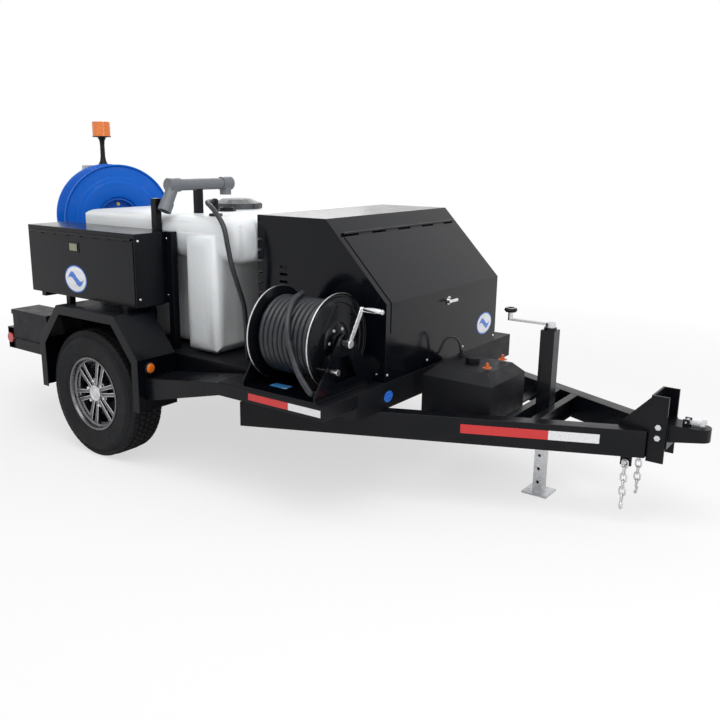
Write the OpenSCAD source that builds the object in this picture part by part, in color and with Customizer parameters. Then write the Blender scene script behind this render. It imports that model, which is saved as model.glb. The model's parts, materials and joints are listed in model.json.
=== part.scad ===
// Trailer-mounted water jetter: a tank, an engine-driven pump under a hood,
// a hand-wound fill hose reel and a swivelling jetting hose reel on one axle.
// Lengths are millimetres. X runs forward to the coupler, Z is up.
// Positions below are measured from the axle; the whole model is then shifted
// along X so that its origin is under the middle of its overall box.

/* [Overall] */
// Front of the coupler nose, ahead of the axle
nose_x = 2930; // [2800:10:3600]
// Rear end of the machine, behind the axle
tail_x = -1280; // [-1560:10:-1280]
// Height of the deck plate's top face
deck_z = 600; // [560:5:760]
// Half the width of the front deck
deck_half = 1050; // [1040:5:1090]
// Thickness of the deck plate
deck_t = 6; // [4:1:10]

/* [Chassis] */
// Height of the main rails
rail_h = 127; // [100:1:150]
// Width of the main rails
rail_w = 76; // [60:1:90]
// Distance from the centre plane to the middle of a main rail
rail_y = 760; // [740:1:765]
// Wall of the rail tubes
rail_wall = 6; // [4:1:10]
// Angle of each tongue rail to the centre plane
tongue_angle = 25; // [22:0.5:28]
// Height of the tongue rails
tongue_h = 127; // [100:1:150]

/* [Wheels] */
// Outer radius of the tyres
tyre_r = 359; // [340:1:370]
// Width of the tyres
tyre_w = 225; // [180:1:235]
// Outer radius of the wheel rims at the flange
rim_r = 208; // [190:1:220]
// Distance from the centre plane to the middle of a tyre
wheel_y = 975; // [970:1:980]
// Radius of the axle spindle
spindle_r = 22; // [16:1:30]
// Radial running clearance of shafts in their bores
run_gap = 0.05; // [0.02:0.01:0.1]
// Number of spoke pairs on a rim
spoke_pairs = 6; // [5:1:8]

/* [Water tank] */
// Length of the upper body
tank_l = 1330; // [1000:10:1330]
// Height of the tank
tank_h = 730; // [600:5:900]
// Half the width of the upper body
tank_half = 695; // [610:1:697]
// Wall of the tank
tank_wall = 8; // [5:1:14]
// Radius of the tank's rounded edges
tank_round = 80; // [40:5:95]
// Radius of the lid
lid_r = 150; // [100:1:220]

/* [Hood] */
// Length of the hood
hood_l = 804; // [700:1:812]
// Half the width of the hood
hood_half = 580; // [480:1:596]
// Height of the hood
hood_h = 755; // [700:1:900]
// Sheet thickness of hood and doors
sheet_t = 3; // [2:0.5:4]

/* [Toolbox] */
// Length of the toolbox
box_l = 960; // [700:10:960]
// Height of the toolbox
box_h = 390; // [300:5:450]
// Depth of the toolbox, front face to back
box_d = 264; // [220:1:264]

/* [Supply hose reel] */
// Radius of the reel's flanges
sreel_r = 222; // [190:1:222]
// Width between the flanges
sreel_w = 332; // [250:1:340]
// Radius of the reel's drum
sdrum_r = 100; // [60:1:110]
// Outer diameter of the supply hose
shose_d = 28; // [20:1:30]
// Layers of supply hose on the drum
shose_layers = 3; // [1:1:3]

/* [Jetting hose reel] */
// Radius of the reel's flanges
jreel_r = 355; // [300:1:355]
// Width between the flanges
jreel_w = 292; // [240:1:292]
// Radius of the reel's drum
jdrum_r = 130; // [90:1:150]
// Outer diameter of the jetting hose
jhose_d = 22; // [12:1:24]
// Layers of jetting hose on the drum
jhose_layers = 4; // [2:1:8]
// Turn of the swivel as the reel is parked
jreel_yaw = -25; // [-30:1:30]

/* [Jack] */
// Side of the jack's outer tube
jack_w = 70; // [60:1:80]
// Side of the jack's inner leg
leg_w = 50; // [40:1:54]
// Side of the jack's foot plate
foot_w = 130; // [100:1:160]

/* [Hidden] */
$fn = 48;

gap = 0.3;                                 // clearance between bodies that move
eps = 1;                                   // overshoot of a cut past a face
x_mid = (nose_x + tail_x) / 2;             // the origin's place, ahead of the axle

// Chassis levels
rail_top = deck_z - deck_t;
rail_bot = rail_top - rail_h;
tongue_top = rail_bot;
tongue_bot = tongue_top - tongue_h;
rail_in = rail_y - rail_w / 2;
rail_out = rail_y + rail_w / 2;
bumper_d = 70;
lens_t = 6;
frame_rear = tail_x + lens_t + bumper_d;
deck_rear = frame_rear;
deck_wide_x = 965;
deck_front = 1604;
apron_t = 6;
side_rail_h = 64;
side_rail_w = 40;
member_w = 60;
member_h = 102;
member_wall = 5;
member_xs = [frame_rear + 20, -620, 60, 700, 1270, deck_front - apron_t - 90];

// Tongue
tongue_w = 76;
tongue_rear = 970;
tongue_tip = nose_x - 240;
function tongue_out_y(x) = (nose_x - x) * tan(tongue_angle);
function tongue_in_y(x) = tongue_out_y(x) - tongue_w / cos(tongue_angle);

// Wheels and axle
axle_z = tyre_r;
beam_r = 38;
beam_wall = 8;
beam_half = 860;
hub_r = 58;
hub_in = 905;
hub_out = 1052;
cap_r = 46;
cap_out = 1062;
spindle_end = 1046;
rim_lip_in = wheel_y - 95;
rim_lip_out = wheel_y + 98;
barrel_r = 172;
spoke_face = wheel_y + 72;
spoke_t = 34;

// Leaf springs
leaf_t = 8;
leaf_w = 45;
leaf_lengths = [660, 520, 380, 240];
seat_t = 6;
leaf_z = axle_z + beam_r + seat_t;
eye_x = leaf_lengths[0] / 2;
eye_r = 14;
eye_z = leaf_z + leaf_t * (len(leaf_lengths) - 1) + leaf_t / 2;
ubolt_r = 6;

// Fenders
fender_in = 840;
fender_out = 1100;
fender_t = 5;
fender_x = 430;
fender_top_x = 250;
fender_low_z = 340;
fender_bend_z = 620;
fender_top_z = 834;
fender_lip = 50;

// Toolbox
box_x0 = -680;
box_x1 = box_x0 + box_l;
box_face_y = -960;
box_y1 = box_face_y + box_d - 4;
box_z0 = 858;
box_z1 = box_z0 + box_h;
box_rim = 30;
box_t = sheet_t;
door_t = 3.7;
bhinge_r = 6;
bhinge_y = box_face_y - bhinge_r - 1;
bhinge_z = box_z1 - 31;
bpin_r = 3;
bdoor_z0 = box_z0 + 10;
bdoor_z1 = bhinge_z - 11;
blatch_x = -235;
blatch_z = 1146;
blatch_w = 90;
blatch_h = 60;
bflap_r = 2.4;
bflap_z = blatch_z + 18;

// Tank
tank_x0 = -540;
tank_x1 = tank_x0 + tank_l;
tank_z1 = deck_z + tank_h;
tank_fore_z = tank_z1 - 230;
tank_core_half = 600;
tank_core_x1 = 400;
tank_leg_x0 = 380;
tank_leg_x1 = 634;
tank_leg_half = 731;
tank_leg_z1 = tank_z1 - 70;
lid_x = 100;
neck_r = lid_r - 18;
neck_t = 12;
neck_h = 24;
lid_h = 34;
funnel_x = 242;
funnel_y = -235;
funnel_r = 42;
funnel_h = 22;

// Fill pipe
pipe_r = 32;
pipe_wall = 4;
collar_r = pipe_r + 6;
pipe_z = tank_z1 + 160;
pipe_y0 = -640;
pipe_y1 = -242;
pipe_drop = 64;
socket_l = 70;
pipe_near_len = 150;
pipe_near_tilt = 28;
post_w = 40;
post_ys = [-720, -460];

// Vent
vent_x = 480;
vent_y = -560;
vent_r = 13;

// Hood
hood_x1 = deck_front;
hood_x0 = hood_x1 - hood_l;
hood_z1 = deck_z + hood_h;
hood_knee_x = 1243;
hood_knee_z = 980;
slope_len = norm([hood_x1 - hood_knee_x, hood_z1 - hood_knee_z]);
slope_dir = [(hood_x1 - hood_knee_x) / slope_len, (hood_knee_z - hood_z1) / slope_len];
slope_out = [-slope_dir[1], slope_dir[0]];
door_half = hood_half - 40;
door_start = 106;
door_low_z = 838;
door_lap = 14;
hdoor_t = 3;
hhinge_off = 8;
hhinge_r = 6;
hpin_r = 3;
hhinge = [hood_knee_x, hood_z1] + slope_dir * (door_start - 2) + slope_out * hhinge_off;
hlatch_z = 920;

// Engine, pump and belt drive
crank_x = 1120;
crank_z = deck_z + 190;
pumpshaft_x = 1420;
pumpshaft_z = deck_z + 150;
epulley_r = 60;
ppulley_r = 105;
belt_y = -262;
belt_w = 40;
belt_t = 9;
eshaft_r = 14;

// Fuel tank
ftank_x0 = 1655;
ftank_x1 = 2030;
ftank_y0 = -320;
ftank_y1 = 60;
ftank_z0 = 408;
ftank_z1 = 645;
ftank_chamfer = 50;
strap_t = 10;
fcap_x = 1830;
fcap_y = -130;
fcap_r = 34;
fneck_r = 26;

// Supply reel
sreel_y = -826;
sreel_z = deck_z + 233;
sreel_x0 = 1164;
sreel_x1 = sreel_x0 + sreel_w;
flange_t = 4;
sshaft_r = 15;
spack_r = sdrum_r + shose_layers * shose_d;
stand_t = 8;
stand_x0 = sreel_x0 - flange_t - 42;
stand_x1 = sreel_x1 + flange_t + 42;
base_t = 6;
crank_arm = [90, 143];
crank_x0 = stand_x1 + stand_t + 14;
grip_r = 14;
grip_l = 110;
lock_r = 5;
lock_ring = 155;
lock_angle = 223.7;
lock_travel = 4.5;

// Jetting reel, about its swivel
jreel_x = -950;
jreel_y = -130;
jreel_z = deck_z + 630;
jshaft_r = 20;
jpack_r = jdrum_r + jhose_layers * jhose_d;
dish_t = 5;
jframe_x = jreel_w / 2 + dish_t + 35;
jframe_t = 8;
pedestal_r = 120;
pedestal_z = deck_z + 180;
table_t = 12;
cbox_d = 96;
cbox_y = [-140, 80];
cbox_z = [deck_z + 800, deck_z + 975];
mast_r = 14;
beacon_r = 65;
beacon_z = deck_z + 1178;
beacon_h = 93;

// Jack
jack_x = nose_x - 760;
jack_top = 840;
jack_bot = 330;
leg_gap = 0.5;
jack_wall = (jack_w - leg_w) / 2 - leg_gap;
leg_top = 560;
leg_wall = 5;
foot_t = 8;
arm_l = 210;

// Hitch
bracket_x0 = tongue_tip - 132;
bracket_x1 = tongue_tip + 75;
bracket_half = 90;
bracket_t = 10;
bracket_z0 = tongue_bot - 17;
bracket_z1 = tongue_top + 164;
cbolt_x = tongue_tip + 42;
cbolt_zs = [440, 490];
cbolt_r = 8;
coupler_z = [390, 500];
socket_r = 30;
ball_x = nose_x - 50;
nose_r = 50;
latch_x = nose_x - 102;
latch_z = coupler_z[1] + 16;
chain_x = tongue_tip - 80;
chain_y = 112;
chain_bolt_z = tongue_bot - 35;
wire_r = 4;
link_r = 13;
link_straight = 16;
link_pitch = link_straight + 2 * (link_r - wire_r) - 0.6;
chain_links = 5;

// Battery box
batt_x = [-880, -520];
batt_y = [-990, -800];
batt_z = [540, 720];
tray_t = 6;

// Routes of the hoses, clear points along each hose's middle
vent_route = [[480, -575, 1408], [480, -600, 1408], [512, -650, 1404], [600, -690, 1372],
    [690, -716, 1300], [730, -728, 1200], [752, -724, 1100], [768, -700, 1000],
    [780, -672, 900], [782, -660, 800], [782, -655, 700], [782, -655, 600]];
tail_route = [[1300, -826, 1033], [1318, -901, 1018.5], [1340, -965, 977], [1364, -1009, 914],
    [1388, -1028, 850], [1416, -1037, 796], [1448, -1047, 744], [1480, -1052, 700],
    [1504, -1048, 668], [1517, -1034, 640], [1520, -1008, 628], [1520, -984, 628]];
fuel_route = [[1725, -60, 645], [1725, -62, 690], [1714, -70, 732], [1686, -88, 752],
    [1656, -106, 734], [1640, -118, 690], [1628, -124, 664], [1604.3, -124, 662]];

// ---------- small helpers ----------
module in_place() translate([-x_mid, 0, 0]) children();
module both() {
    children();
    mirror([0, 1, 0]) children();
}
module block(x, y, z) translate([x[0], y[0], z[0]]) cube([x[1] - x[0], y[1] - y[0], z[1] - z[0]]);
module rod_x(x, y, z, r) translate([x[0], y, z]) rotate([0, 90, 0]) cylinder(h = x[1] - x[0], r = r);
module rod_y(x, y, z, r) translate([x, y[1], z]) rotate([90, 0, 0]) cylinder(h = y[1] - y[0], r = r);
module rod_z(x, y, z, r) translate([x, y, z[0]]) cylinder(h = z[1] - z[0], r = r);
// A plate cut in the XZ plane, between two values of Y
module plate_xz(points, y) translate([0, y[1], 0]) rotate([90, 0, 0])
    linear_extrude(y[1] - y[0]) polygon(points);
// A plate cut in the YZ plane, between two values of X
module plate_yz(points, x) translate([x[0], 0, 0]) rotate([90, 0, 90])
    linear_extrude(x[1] - x[0]) polygon(points);
module tube_x(x, y, z, w) difference() {
    block(x, y, z);
    block([x[0] - eps, x[1] + eps], [y[0] + w, y[1] - w], [z[0] + w, z[1] - w]);
}
module tube_y(x, y, z, w) difference() {
    block(x, y, z);
    block([x[0] + w, x[1] - w], [y[0] - eps, y[1] + eps], [z[0] + w, z[1] - w]);
}
module tube_z(x, y, z, w) difference() {
    block(x, y, z);
    block([x[0] + w, x[1] - w], [y[0] + w, y[1] - w], [z[0] - eps, z[1] + eps]);
}
function unit(v) = v / norm(v);
function between(p0, p1, p2, p3, t) = 0.5 * (2 * p1 + (p2 - p0) * t
    + (2 * p0 - 5 * p1 + 4 * p2 - p3) * t * t + (3 * p1 - p0 - 3 * p2 + p3) * t * t * t);
function smooth(p, k) = [for (i = [0 : len(p) - 2]) for (j = [0 : k - 1])
    between(p[max(i - 1, 0)], p[i], p[i + 1], p[min(i + 2, len(p) - 1)], j / k), p[len(p) - 1]];
// A round tube along a list of points; side is a direction the tube never runs in
module hose(path, r, side, n = 10) {
    m = len(path);
    rings = [for (i = [0 : m - 1])
        let (t = unit(path[min(i + 1, m - 1)] - path[max(i - 1, 0)]),
             u = unit(cross(t, side)), v = cross(t, u))
        for (k = [0 : n - 1]) path[i] + r * (cos(360 * k / n) * u + sin(360 * k / n) * v)];
    walls = [for (i = [0 : m - 2]) for (k = [0 : n - 1])
        [i * n + k, (i + 1) * n + k, (i + 1) * n + (k + 1) % n, i * n + (k + 1) % n]];
    ends = [[for (k = [0 : n - 1]) k], [for (k = [n - 1 : -1 : 0]) (m - 1) * n + k]];
    polyhedron(rings, concat(walls, ends));
}
// Outline of a rectangle with round corners
function round_rect(a, b, r, n = 6) = [for (c = [[1, 1, 0], [0, 1, 90], [0, 0, 180], [1, 0, 270]])
    for (k = [0 : n]) [(c[0] > 0 ? a[1] - r : a[0] + r) + r * cos(c[2] + 90 * k / n),
        (c[1] > 0 ? b[1] - r : b[0] + r) + r * sin(c[2] + 90 * k / n)]];
// A block whose edges are rounded all round
module rounded(x, y, z, r) intersection() {
    plate_xz(round_rect(x, z, r), y);
    plate_yz(round_rect(y, z, r), x);
    translate([0, 0, z[0]]) linear_extrude(z[1] - z[0]) polygon(round_rect(x, y, r));
}

// ---------- chassis ----------
module main_rails() color("black") in_place() both()
    tube_x([frame_rear, deck_front - apron_t], [rail_in, rail_out], [rail_bot, rail_top], rail_wall);

module cross_members() color("black") in_place() for (x = member_xs)
    tube_y([x, x + member_w], [-rail_in, rail_in], [rail_top - member_h, rail_top], member_wall);

module deck_plate() color("dimgray") in_place() {
    block([deck_rear, deck_wide_x], [-rail_out, rail_out], [rail_top, deck_z]);
    block([deck_wide_x, deck_front], [-deck_half, rail_out], [rail_top, deck_z]);
    block([deck_front - apron_t, deck_front], [-rail_out, rail_out], [rail_bot, rail_top]);
}

// The deck is wide on the tool side only, so only that side has an outer and a front rail
module deck_side_rails() color("black") in_place() {
    low = rail_top - side_rail_h;
    inner = deck_half - side_rail_w;
    mirror([0, 1, 0]) {
        block([deck_wide_x, deck_front], [inner, deck_half], [low, rail_top]);
        block([deck_front - side_rail_w, deck_front], [rail_out, inner], [low, rail_top]);
    }
    both() {
        block([deck_wide_x, deck_wide_x + side_rail_w], [rail_out, deck_half], [low, rail_top]);
        plate_xz([[fender_x, 398], [deck_wide_x, low], [deck_wide_x, rail_top], [fender_x, 518]],
            [deck_half - 6, deck_half]);
        plate_xz([[fender_x, 512], [deck_wide_x, rail_top - 6], [deck_wide_x, rail_top], [fender_x, 518]],
            [fender_in + 10, deck_half - 6]);
        plate_xz([[fender_x, 470], [deck_wide_x, low], [deck_wide_x, rail_top - 6], [fender_x, 512]],
            [fender_in + 10, fender_in + 16]);
    }
}

module tongue_rail_outline(inset, rear) {
    side = inset / cos(tongue_angle);
    polygon([[rear, tongue_out_y(rear) - side], [tongue_tip, tongue_out_y(tongue_tip) - side],
        [tongue_tip, tongue_in_y(tongue_tip) + side], [rear, tongue_in_y(rear) + side]]);
}
module tongue_rails() color("black") in_place() both() difference() {
    translate([0, 0, tongue_bot]) linear_extrude(tongue_h) tongue_rail_outline(0, tongue_rear);
    translate([0, 0, tongue_bot + rail_wall]) linear_extrude(tongue_h - 2 * rail_wall)
        tongue_rail_outline(rail_wall, tongue_rear - 10);
}

// A flat or channel that runs across between the slanting tongue rails
module tongue_span(x, z) translate([0, 0, z[0]]) linear_extrude(z[1] - z[0])
    polygon([[x[0], -tongue_in_y(x[0])], [x[1], -tongue_in_y(x[1])],
        [x[1], tongue_in_y(x[1])], [x[0], tongue_in_y(x[0])]]);
module tongue_cross_members() color("black") in_place() {
    half = jack_w / 2;
    difference() {
        tongue_span([jack_x - half - 40, jack_x - half], [tongue_top - 95, tongue_top]);
        translate([jack_x - half - 40 - eps, -1000, tongue_top - 89]) cube([35, 2000, 83]);
    }
    difference() {
        tongue_span([jack_x + half, jack_x + half + 40], [tongue_top - 95, tongue_top]);
        translate([jack_x + half + 6, -1000, tongue_top - 89]) cube([35, 2000, 83]);
    }
    for (x = [ftank_x0 + 35, ftank_x1 - 95])
        tongue_span([x, x + 60], [ftank_z0 - strap_t, ftank_z0]);
    tongue_span([tongue_tip - 190, tongue_tip - 110], [tongue_bot, tongue_bot + 10]);
}

module rear_bumper() color("black") in_place() {
    tube_y([frame_rear - bumper_d, frame_rear], [-rail_out - 2, rail_out + 2],
        [rail_bot - 82, rail_bot + 60], 5);
    both() block([frame_rear, frame_rear + 300], [rail_in, rail_out], [rail_bot - 82, rail_bot]);
}

module hitch_bracket() color("black") in_place() difference() {
    union() {
        both() plate_xz([[bracket_x0, tongue_top], [tongue_tip, tongue_top], [tongue_tip, bracket_z0],
            [bracket_x1, bracket_z0], [bracket_x1, bracket_z1], [tongue_tip + 10, bracket_z1],
            [bracket_x0, tongue_top + 8]], [bracket_half - bracket_t, bracket_half]);
        block([tongue_tip, tongue_tip + bracket_t], [-bracket_half, bracket_half], [bracket_z0, bracket_z1]);
        block([bracket_x0, tongue_tip], [-bracket_half, bracket_half], [tongue_top, tongue_top + 6]);
        both() block([chain_x - 25, chain_x + 25], [chain_y - 17, chain_y - 7],
            [chain_bolt_z - 20, tongue_bot]);
    }
    for (z = cbolt_zs) rod_y(cbolt_x, [-bracket_half - eps, bracket_half + eps], z, cbolt_r + gap);
    both() rod_y(chain_x, [chain_y - 20, chain_y - 5], chain_bolt_z, 6 + gap);
}

// ---------- hitch ----------
module coupler_body() color("silver") in_place() difference() {
    inner = bracket_half - bracket_t;
    union() {
        difference() {
            block([tongue_tip + bracket_t, bracket_x1 + 6], [-inner, inner], coupler_z);
            block([tongue_tip + bracket_t - eps, bracket_x1], [10 - inner, inner - 10],
                [coupler_z[0] + 8, coupler_z[1] - 8]);
        }
        hull() {
            block([bracket_x1 + 4, bracket_x1 + 6], [-60, 60], [coupler_z[0] + 30, coupler_z[1]]);
            rod_z(ball_x, 0, [coupler_z[1] - 60, coupler_z[1]], nose_r);
        }
        both() block([latch_x - 14, latch_x + 14], [17, 24], [coupler_z[1] - 2, latch_z + 12]);
    }
    translate([ball_x, 0, coupler_z[1] - 44]) sphere(r = socket_r);
    rod_z(ball_x, 0, [coupler_z[1] - 70, coupler_z[1] - 44], socket_r);
    for (z = cbolt_zs) rod_y(cbolt_x, [-inner - eps, inner + eps], z, cbolt_r + gap);
    rod_y(latch_x, [-30, 30], latch_z, 4 + run_gap);
}

module coupler_bolts() color("silver") in_place() {
    for (z = cbolt_zs) {
        rod_y(cbolt_x, [-bracket_half, bracket_half + 16], z, cbolt_r);
        rod_y(cbolt_x, [-bracket_half - 10, -bracket_half], z, 14, $fn = 6);
        rod_y(cbolt_x, [bracket_half, bracket_half + 12], z, 14, $fn = 6);
    }
    both() {
        rod_y(chain_x, [chain_y - 17, chain_y + 10], chain_bolt_z, 6);
        rod_y(chain_x, [chain_y - 25, chain_y - 17], chain_bolt_z, 11, $fn = 6);
        rod_y(chain_x, [chain_y + 6, chain_y + 14], chain_bolt_z, 11, $fn = 6);
    }
}

module link() {
    for (s = [1, -1]) translate([0, 0, s * link_straight / 2]) {
        rotate([90, s > 0 ? 0 : 180, 0]) rotate_extrude(angle = 180) translate([link_r, 0])
            circle(r = wire_r, $fn = 24);
        translate([s * link_r, 0, s > 0 ? -link_straight : 0])
            cylinder(h = link_straight, r = wire_r, $fn = 24);
    }
}
module safety_chains() color("silver") in_place() both() {
    top = chain_bolt_z + 6 + gap - link_straight / 2 - (link_r - wire_r);
    for (i = [0 : chain_links - 1])
        translate([chain_x, chain_y - 0.5, top - i * link_pitch]) rotate([0, 0, i % 2 * 90]) link();
    translate([chain_x, chain_y - 0.5, top - chain_links * link_pitch]) rotate([0, 0, 90]) {
        link();
        translate([0, 0, -34]) rotate([90, 180, 0]) rotate_extrude(angle = 230)
            translate([15, 0]) circle(r = 6, $fn = 24);
    }
}

module coupler_latch() color("silver") in_place() {
    difference() {
        union() {
            rod_y(latch_x, [-16.5, 16.5], latch_z, 11);
            block([latch_x, nose_x - 26], [-15, 15], [latch_z - 8, latch_z + 4]);
            block([nose_x - 44, nose_x - 26], [-22, 22], [latch_z - 8, latch_z + 12]);
        }
        rod_y(latch_x, [-20, 20], latch_z, 4 + run_gap);
    }
    rod_y(latch_x, [-30, 30], latch_z, 4);
}

// ---------- running gear ----------
module axle_beam() color("dimgray") in_place() {
    difference() {
        rod_y(0, [-beam_half, beam_half], axle_z, beam_r);
        rod_y(0, [-beam_half + 20, beam_half - 20], axle_z, beam_r - beam_wall);
    }
    both() {
        rod_y(0, [beam_half, spindle_end], axle_z, spindle_r);
        rod_y(0, [beam_half, beam_half + 8], axle_z, 125);
    }
}

module leaf_springs() color("dimgray") in_place() both() {
    y = [rail_y - leaf_w / 2, rail_y + leaf_w / 2];
    n = len(leaf_lengths);
    for (i = [0 : n - 1]) difference() {
        union() {
            z = leaf_z + (n - 1 - i) * leaf_t;
            block([-leaf_lengths[i] / 2, leaf_lengths[i] / 2], y, [z, z + leaf_t]);
            if (i == 0) for (s = [-1, 1]) rod_y(s * eye_x, y, eye_z, eye_r);
        }
        if (i == 0) for (s = [-1, 1]) rod_y(s * eye_x, [y[0] - eps, y[1] + eps], eye_z, 8 + gap);
    }
    for (s = [-1, 1]) {
        rod_y(s * eye_x, [y[0] - 14, y[1] + 14], eye_z, 8);
        for (side = [[y[0] - 6, y[0]], [y[1], y[1] + 6]]) difference() {
            block([s * eye_x - 20, s * eye_x + 20], side, [eye_z - 18, rail_bot]);
            rod_y(s * eye_x, [side[0] - eps, side[1] + eps], eye_z, 8 + gap);
        }
        for (yy = [y[0] - ubolt_r - 1, y[1] + ubolt_r + 1])
            rod_z(s * (beam_r + ubolt_r + 2), yy, [axle_z - beam_r - 22, leaf_z + n * leaf_t + 10], ubolt_r);
    }
    block([-60, 60], [y[0] - 16, y[1] + 16], [axle_z - beam_r - 12, axle_z - beam_r]);
    block([-60, 60], [y[0] - 16, y[1] + 16], [leaf_z + n * leaf_t, leaf_z + n * leaf_t + 8]);
    block([-50, 50], y, [axle_z + beam_r, leaf_z]);
}

module tyre(s) mirror([0, s > 0 ? 0 : 1, 0]) translate([0, wheel_y, axle_z]) rotate([90, 0, 0])
    rotate_extrude($fn = 96) {
        half = tyre_w / 2;
        bead = rim_lip_out - wheel_y - 6;
        difference() {
            polygon([[rim_r - 12, -bead], [rim_r + 1, -bead], [rim_r + 10, -bead - 8], [rim_r + 60, -half],
                [tyre_r - 60, -half + 1], [tyre_r - 14, -half + 12], [tyre_r - 3, -half + 34],
                [tyre_r, -30], [tyre_r, 30], [tyre_r - 3, half - 34], [tyre_r - 14, half - 12],
                [tyre_r - 60, half - 1], [rim_r + 60, half], [rim_r + 10, bead + 8],
                [rim_r + 1, bead], [rim_r - 12, bead]]);
            polygon([[rim_r - 13, -bead + 14], [rim_r + 20, -bead + 10], [rim_r + 60, -half + 12],
                [tyre_r - 30, -half + 24], [tyre_r - 16, 0], [tyre_r - 30, half - 24],
                [rim_r + 60, half - 12], [rim_r + 20, bead - 10], [rim_r - 13, bead - 14]]);
        }
    }
module rim(s) mirror([0, s > 0 ? 0 : 1, 0]) {
    bead_r = rim_r - 12;
    difference() {
        union() {
            translate([0, 0, axle_z]) rotate([-90, 0, 0]) rotate_extrude($fn = 96) polygon([
                [barrel_r, rim_lip_in + 30], [bead_r - 4, rim_lip_in + 10], [bead_r - 4, rim_lip_in],
                [rim_r - 1, rim_lip_in - 4], [rim_r - 1, rim_lip_in], [bead_r, rim_lip_in + 3],
                [bead_r, rim_lip_in + 14], [barrel_r + 5, rim_lip_in + 34],
                [barrel_r + 5, rim_lip_out - 34], [bead_r, rim_lip_out - 14], [bead_r, rim_lip_out - 3],
                [rim_r - 1, rim_lip_out], [rim_r - 1, rim_lip_out + 4], [bead_r - 4, rim_lip_out],
                [bead_r - 4, rim_lip_out - 10], [barrel_r, rim_lip_out - 30]]);
            rod_y(0, [hub_in, hub_out], axle_z, hub_r);
            rod_y(0, [hub_out, cap_out], axle_z, cap_r);
            rod_y(0, [spoke_face - spoke_t - 10, spoke_face], axle_z, 86);
            for (i = [0 : spoke_pairs - 1], j = [-1, 1])
                translate([0, 0, axle_z]) rotate([0, i * 360 / spoke_pairs + 30, 0])
                    translate([j * 30 - 11, spoke_face - spoke_t, 60])
                        cube([22, spoke_t, barrel_r - 54]);
        }
        rod_y(0, [hub_in - eps, spindle_end + 3], axle_z, spindle_r + run_gap);
        for (i = [0 : spoke_pairs - 1]) translate([0, 0, axle_z]) rotate([0, i * 360 / spoke_pairs, 0])
            translate([0, spoke_face - 8, 68]) rotate([-90, 0, 0]) cylinder(h = 10, r = 11);
    }
}
module tyre_right() color("black") in_place() tyre(-1);
module tyre_left() color("black") in_place() tyre(1);
module rim_right() color("silver") in_place() rim(-1);
module rim_left() color("silver") in_place() rim(1);

// ---------- fenders and lamps ----------
function fender_path(d) = [[-fender_x + d, fender_low_z - (d > 0 ? eps : 0)],
    [-fender_x + d, fender_bend_z - d * 0.4], [-fender_top_x + d * 0.45, fender_top_z - d],
    [fender_top_x - d * 0.45, fender_top_z - d], [fender_x - d, fender_bend_z - d * 0.4],
    [fender_x - d, fender_low_z - (d > 0 ? eps : 0)]];
module fender_ring(depth, y) difference() {
    plate_xz(fender_path(0), y);
    plate_xz(fender_path(depth), [y[0] - eps, y[1] + eps]);
}
module fenders() color("black") in_place() both() {
    fender_ring(fender_t, [fender_in, fender_out]);
    fender_ring(fender_lip, [fender_out - fender_t, fender_out]);
    intersection() {
        plate_xz(fender_path(0), [fender_in, fender_in + fender_t]);
        block([-500, 500], [fender_in - eps, fender_in + 10], [rail_bot, fender_top_z + eps]);
    }
    for (x = [-360, 280]) block([x, x + 80], [rail_out, fender_in], [rail_bot + 40, rail_bot + 100]);
}
module marker_lamps() color("orange") in_place() both() {
    rod_x([fender_x, fender_x + 5], 1020, 570, 31);
    rod_x([fender_x + 5, fender_x + 16], 1020, 570, 25);
}
module tail_lamps() color("red") in_place() both() {
    rod_x([tail_x, tail_x + lens_t], 640, rail_bot - 10, 50);
    rod_y(tail_x + lens_t + bumper_d / 2, [rail_out + 2, rail_out + 12], rail_bot - 10, bumper_d / 2 - 2);
}

// ---------- toolbox ----------
module hinge_knuckles(first) for (i = [first : 2 : 14]) {
    step = (box_l - 40) / 15;
    x = box_x0 + 20 + i * step;
    rod_x([x + gap, x + step - gap], bhinge_y, bhinge_z, bhinge_r);
    if (first == 0)
        block([x + gap, x + step - gap], [bhinge_y, box_face_y], [bhinge_z - 4, bhinge_z + bhinge_r]);
    else block([x + gap, x + step - gap], [bhinge_y, bhinge_y + door_t - 0.4], [bdoor_z1 - 2, bhinge_z]);
}
module toolbox_body() color("black") in_place() {
    difference() {
        block([box_x0, box_x1], [box_face_y, box_y1], [box_z0, box_z1]);
        block([box_x0 + box_t, box_x1 - box_t], [box_face_y + box_t, box_y1 - box_t],
            [box_z0 + box_t, box_z1 - box_t]);
        block([box_x0 + box_rim, box_x1 - box_rim], [box_face_y - eps, box_face_y + 10],
            [bdoor_z0 + 20, bdoor_z1 - 14]);
    }
    difference() {
        hinge_knuckles(0);
        rod_x([box_x0, box_x1], bhinge_y, bhinge_z, bpin_r + run_gap);
    }
}
module toolbox_door() color("black") in_place() {
    difference() {
        union() {
            block([box_x0 + 10, box_x1 - 10], [box_face_y - door_t - gap, box_face_y - gap],
                [bdoor_z0, bdoor_z1]);
            hinge_knuckles(1);
            block([blatch_x - blatch_w / 2, blatch_x + blatch_w / 2],
                [box_face_y - door_t - 3, box_face_y - door_t - gap],
                [blatch_z - blatch_h / 2, blatch_z + blatch_h / 2]);
        }
        rod_x([box_x0, box_x1], bhinge_y, bhinge_z, bpin_r + run_gap);
    }
    rod_x([box_x0 + 22, box_x1 - 22], bhinge_y, bhinge_z, bpin_r);
}
module toolbox_latch() color("silver") in_place() {
    y = box_face_y - door_t - 3 - gap;
    block([blatch_x - 34, blatch_x + 34], [y - 2 * bflap_r, y], [blatch_z - 20, bflap_z]);
    rod_x([blatch_x - 34, blatch_x + 34], y - bflap_r, bflap_z, bflap_r);
}

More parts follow.
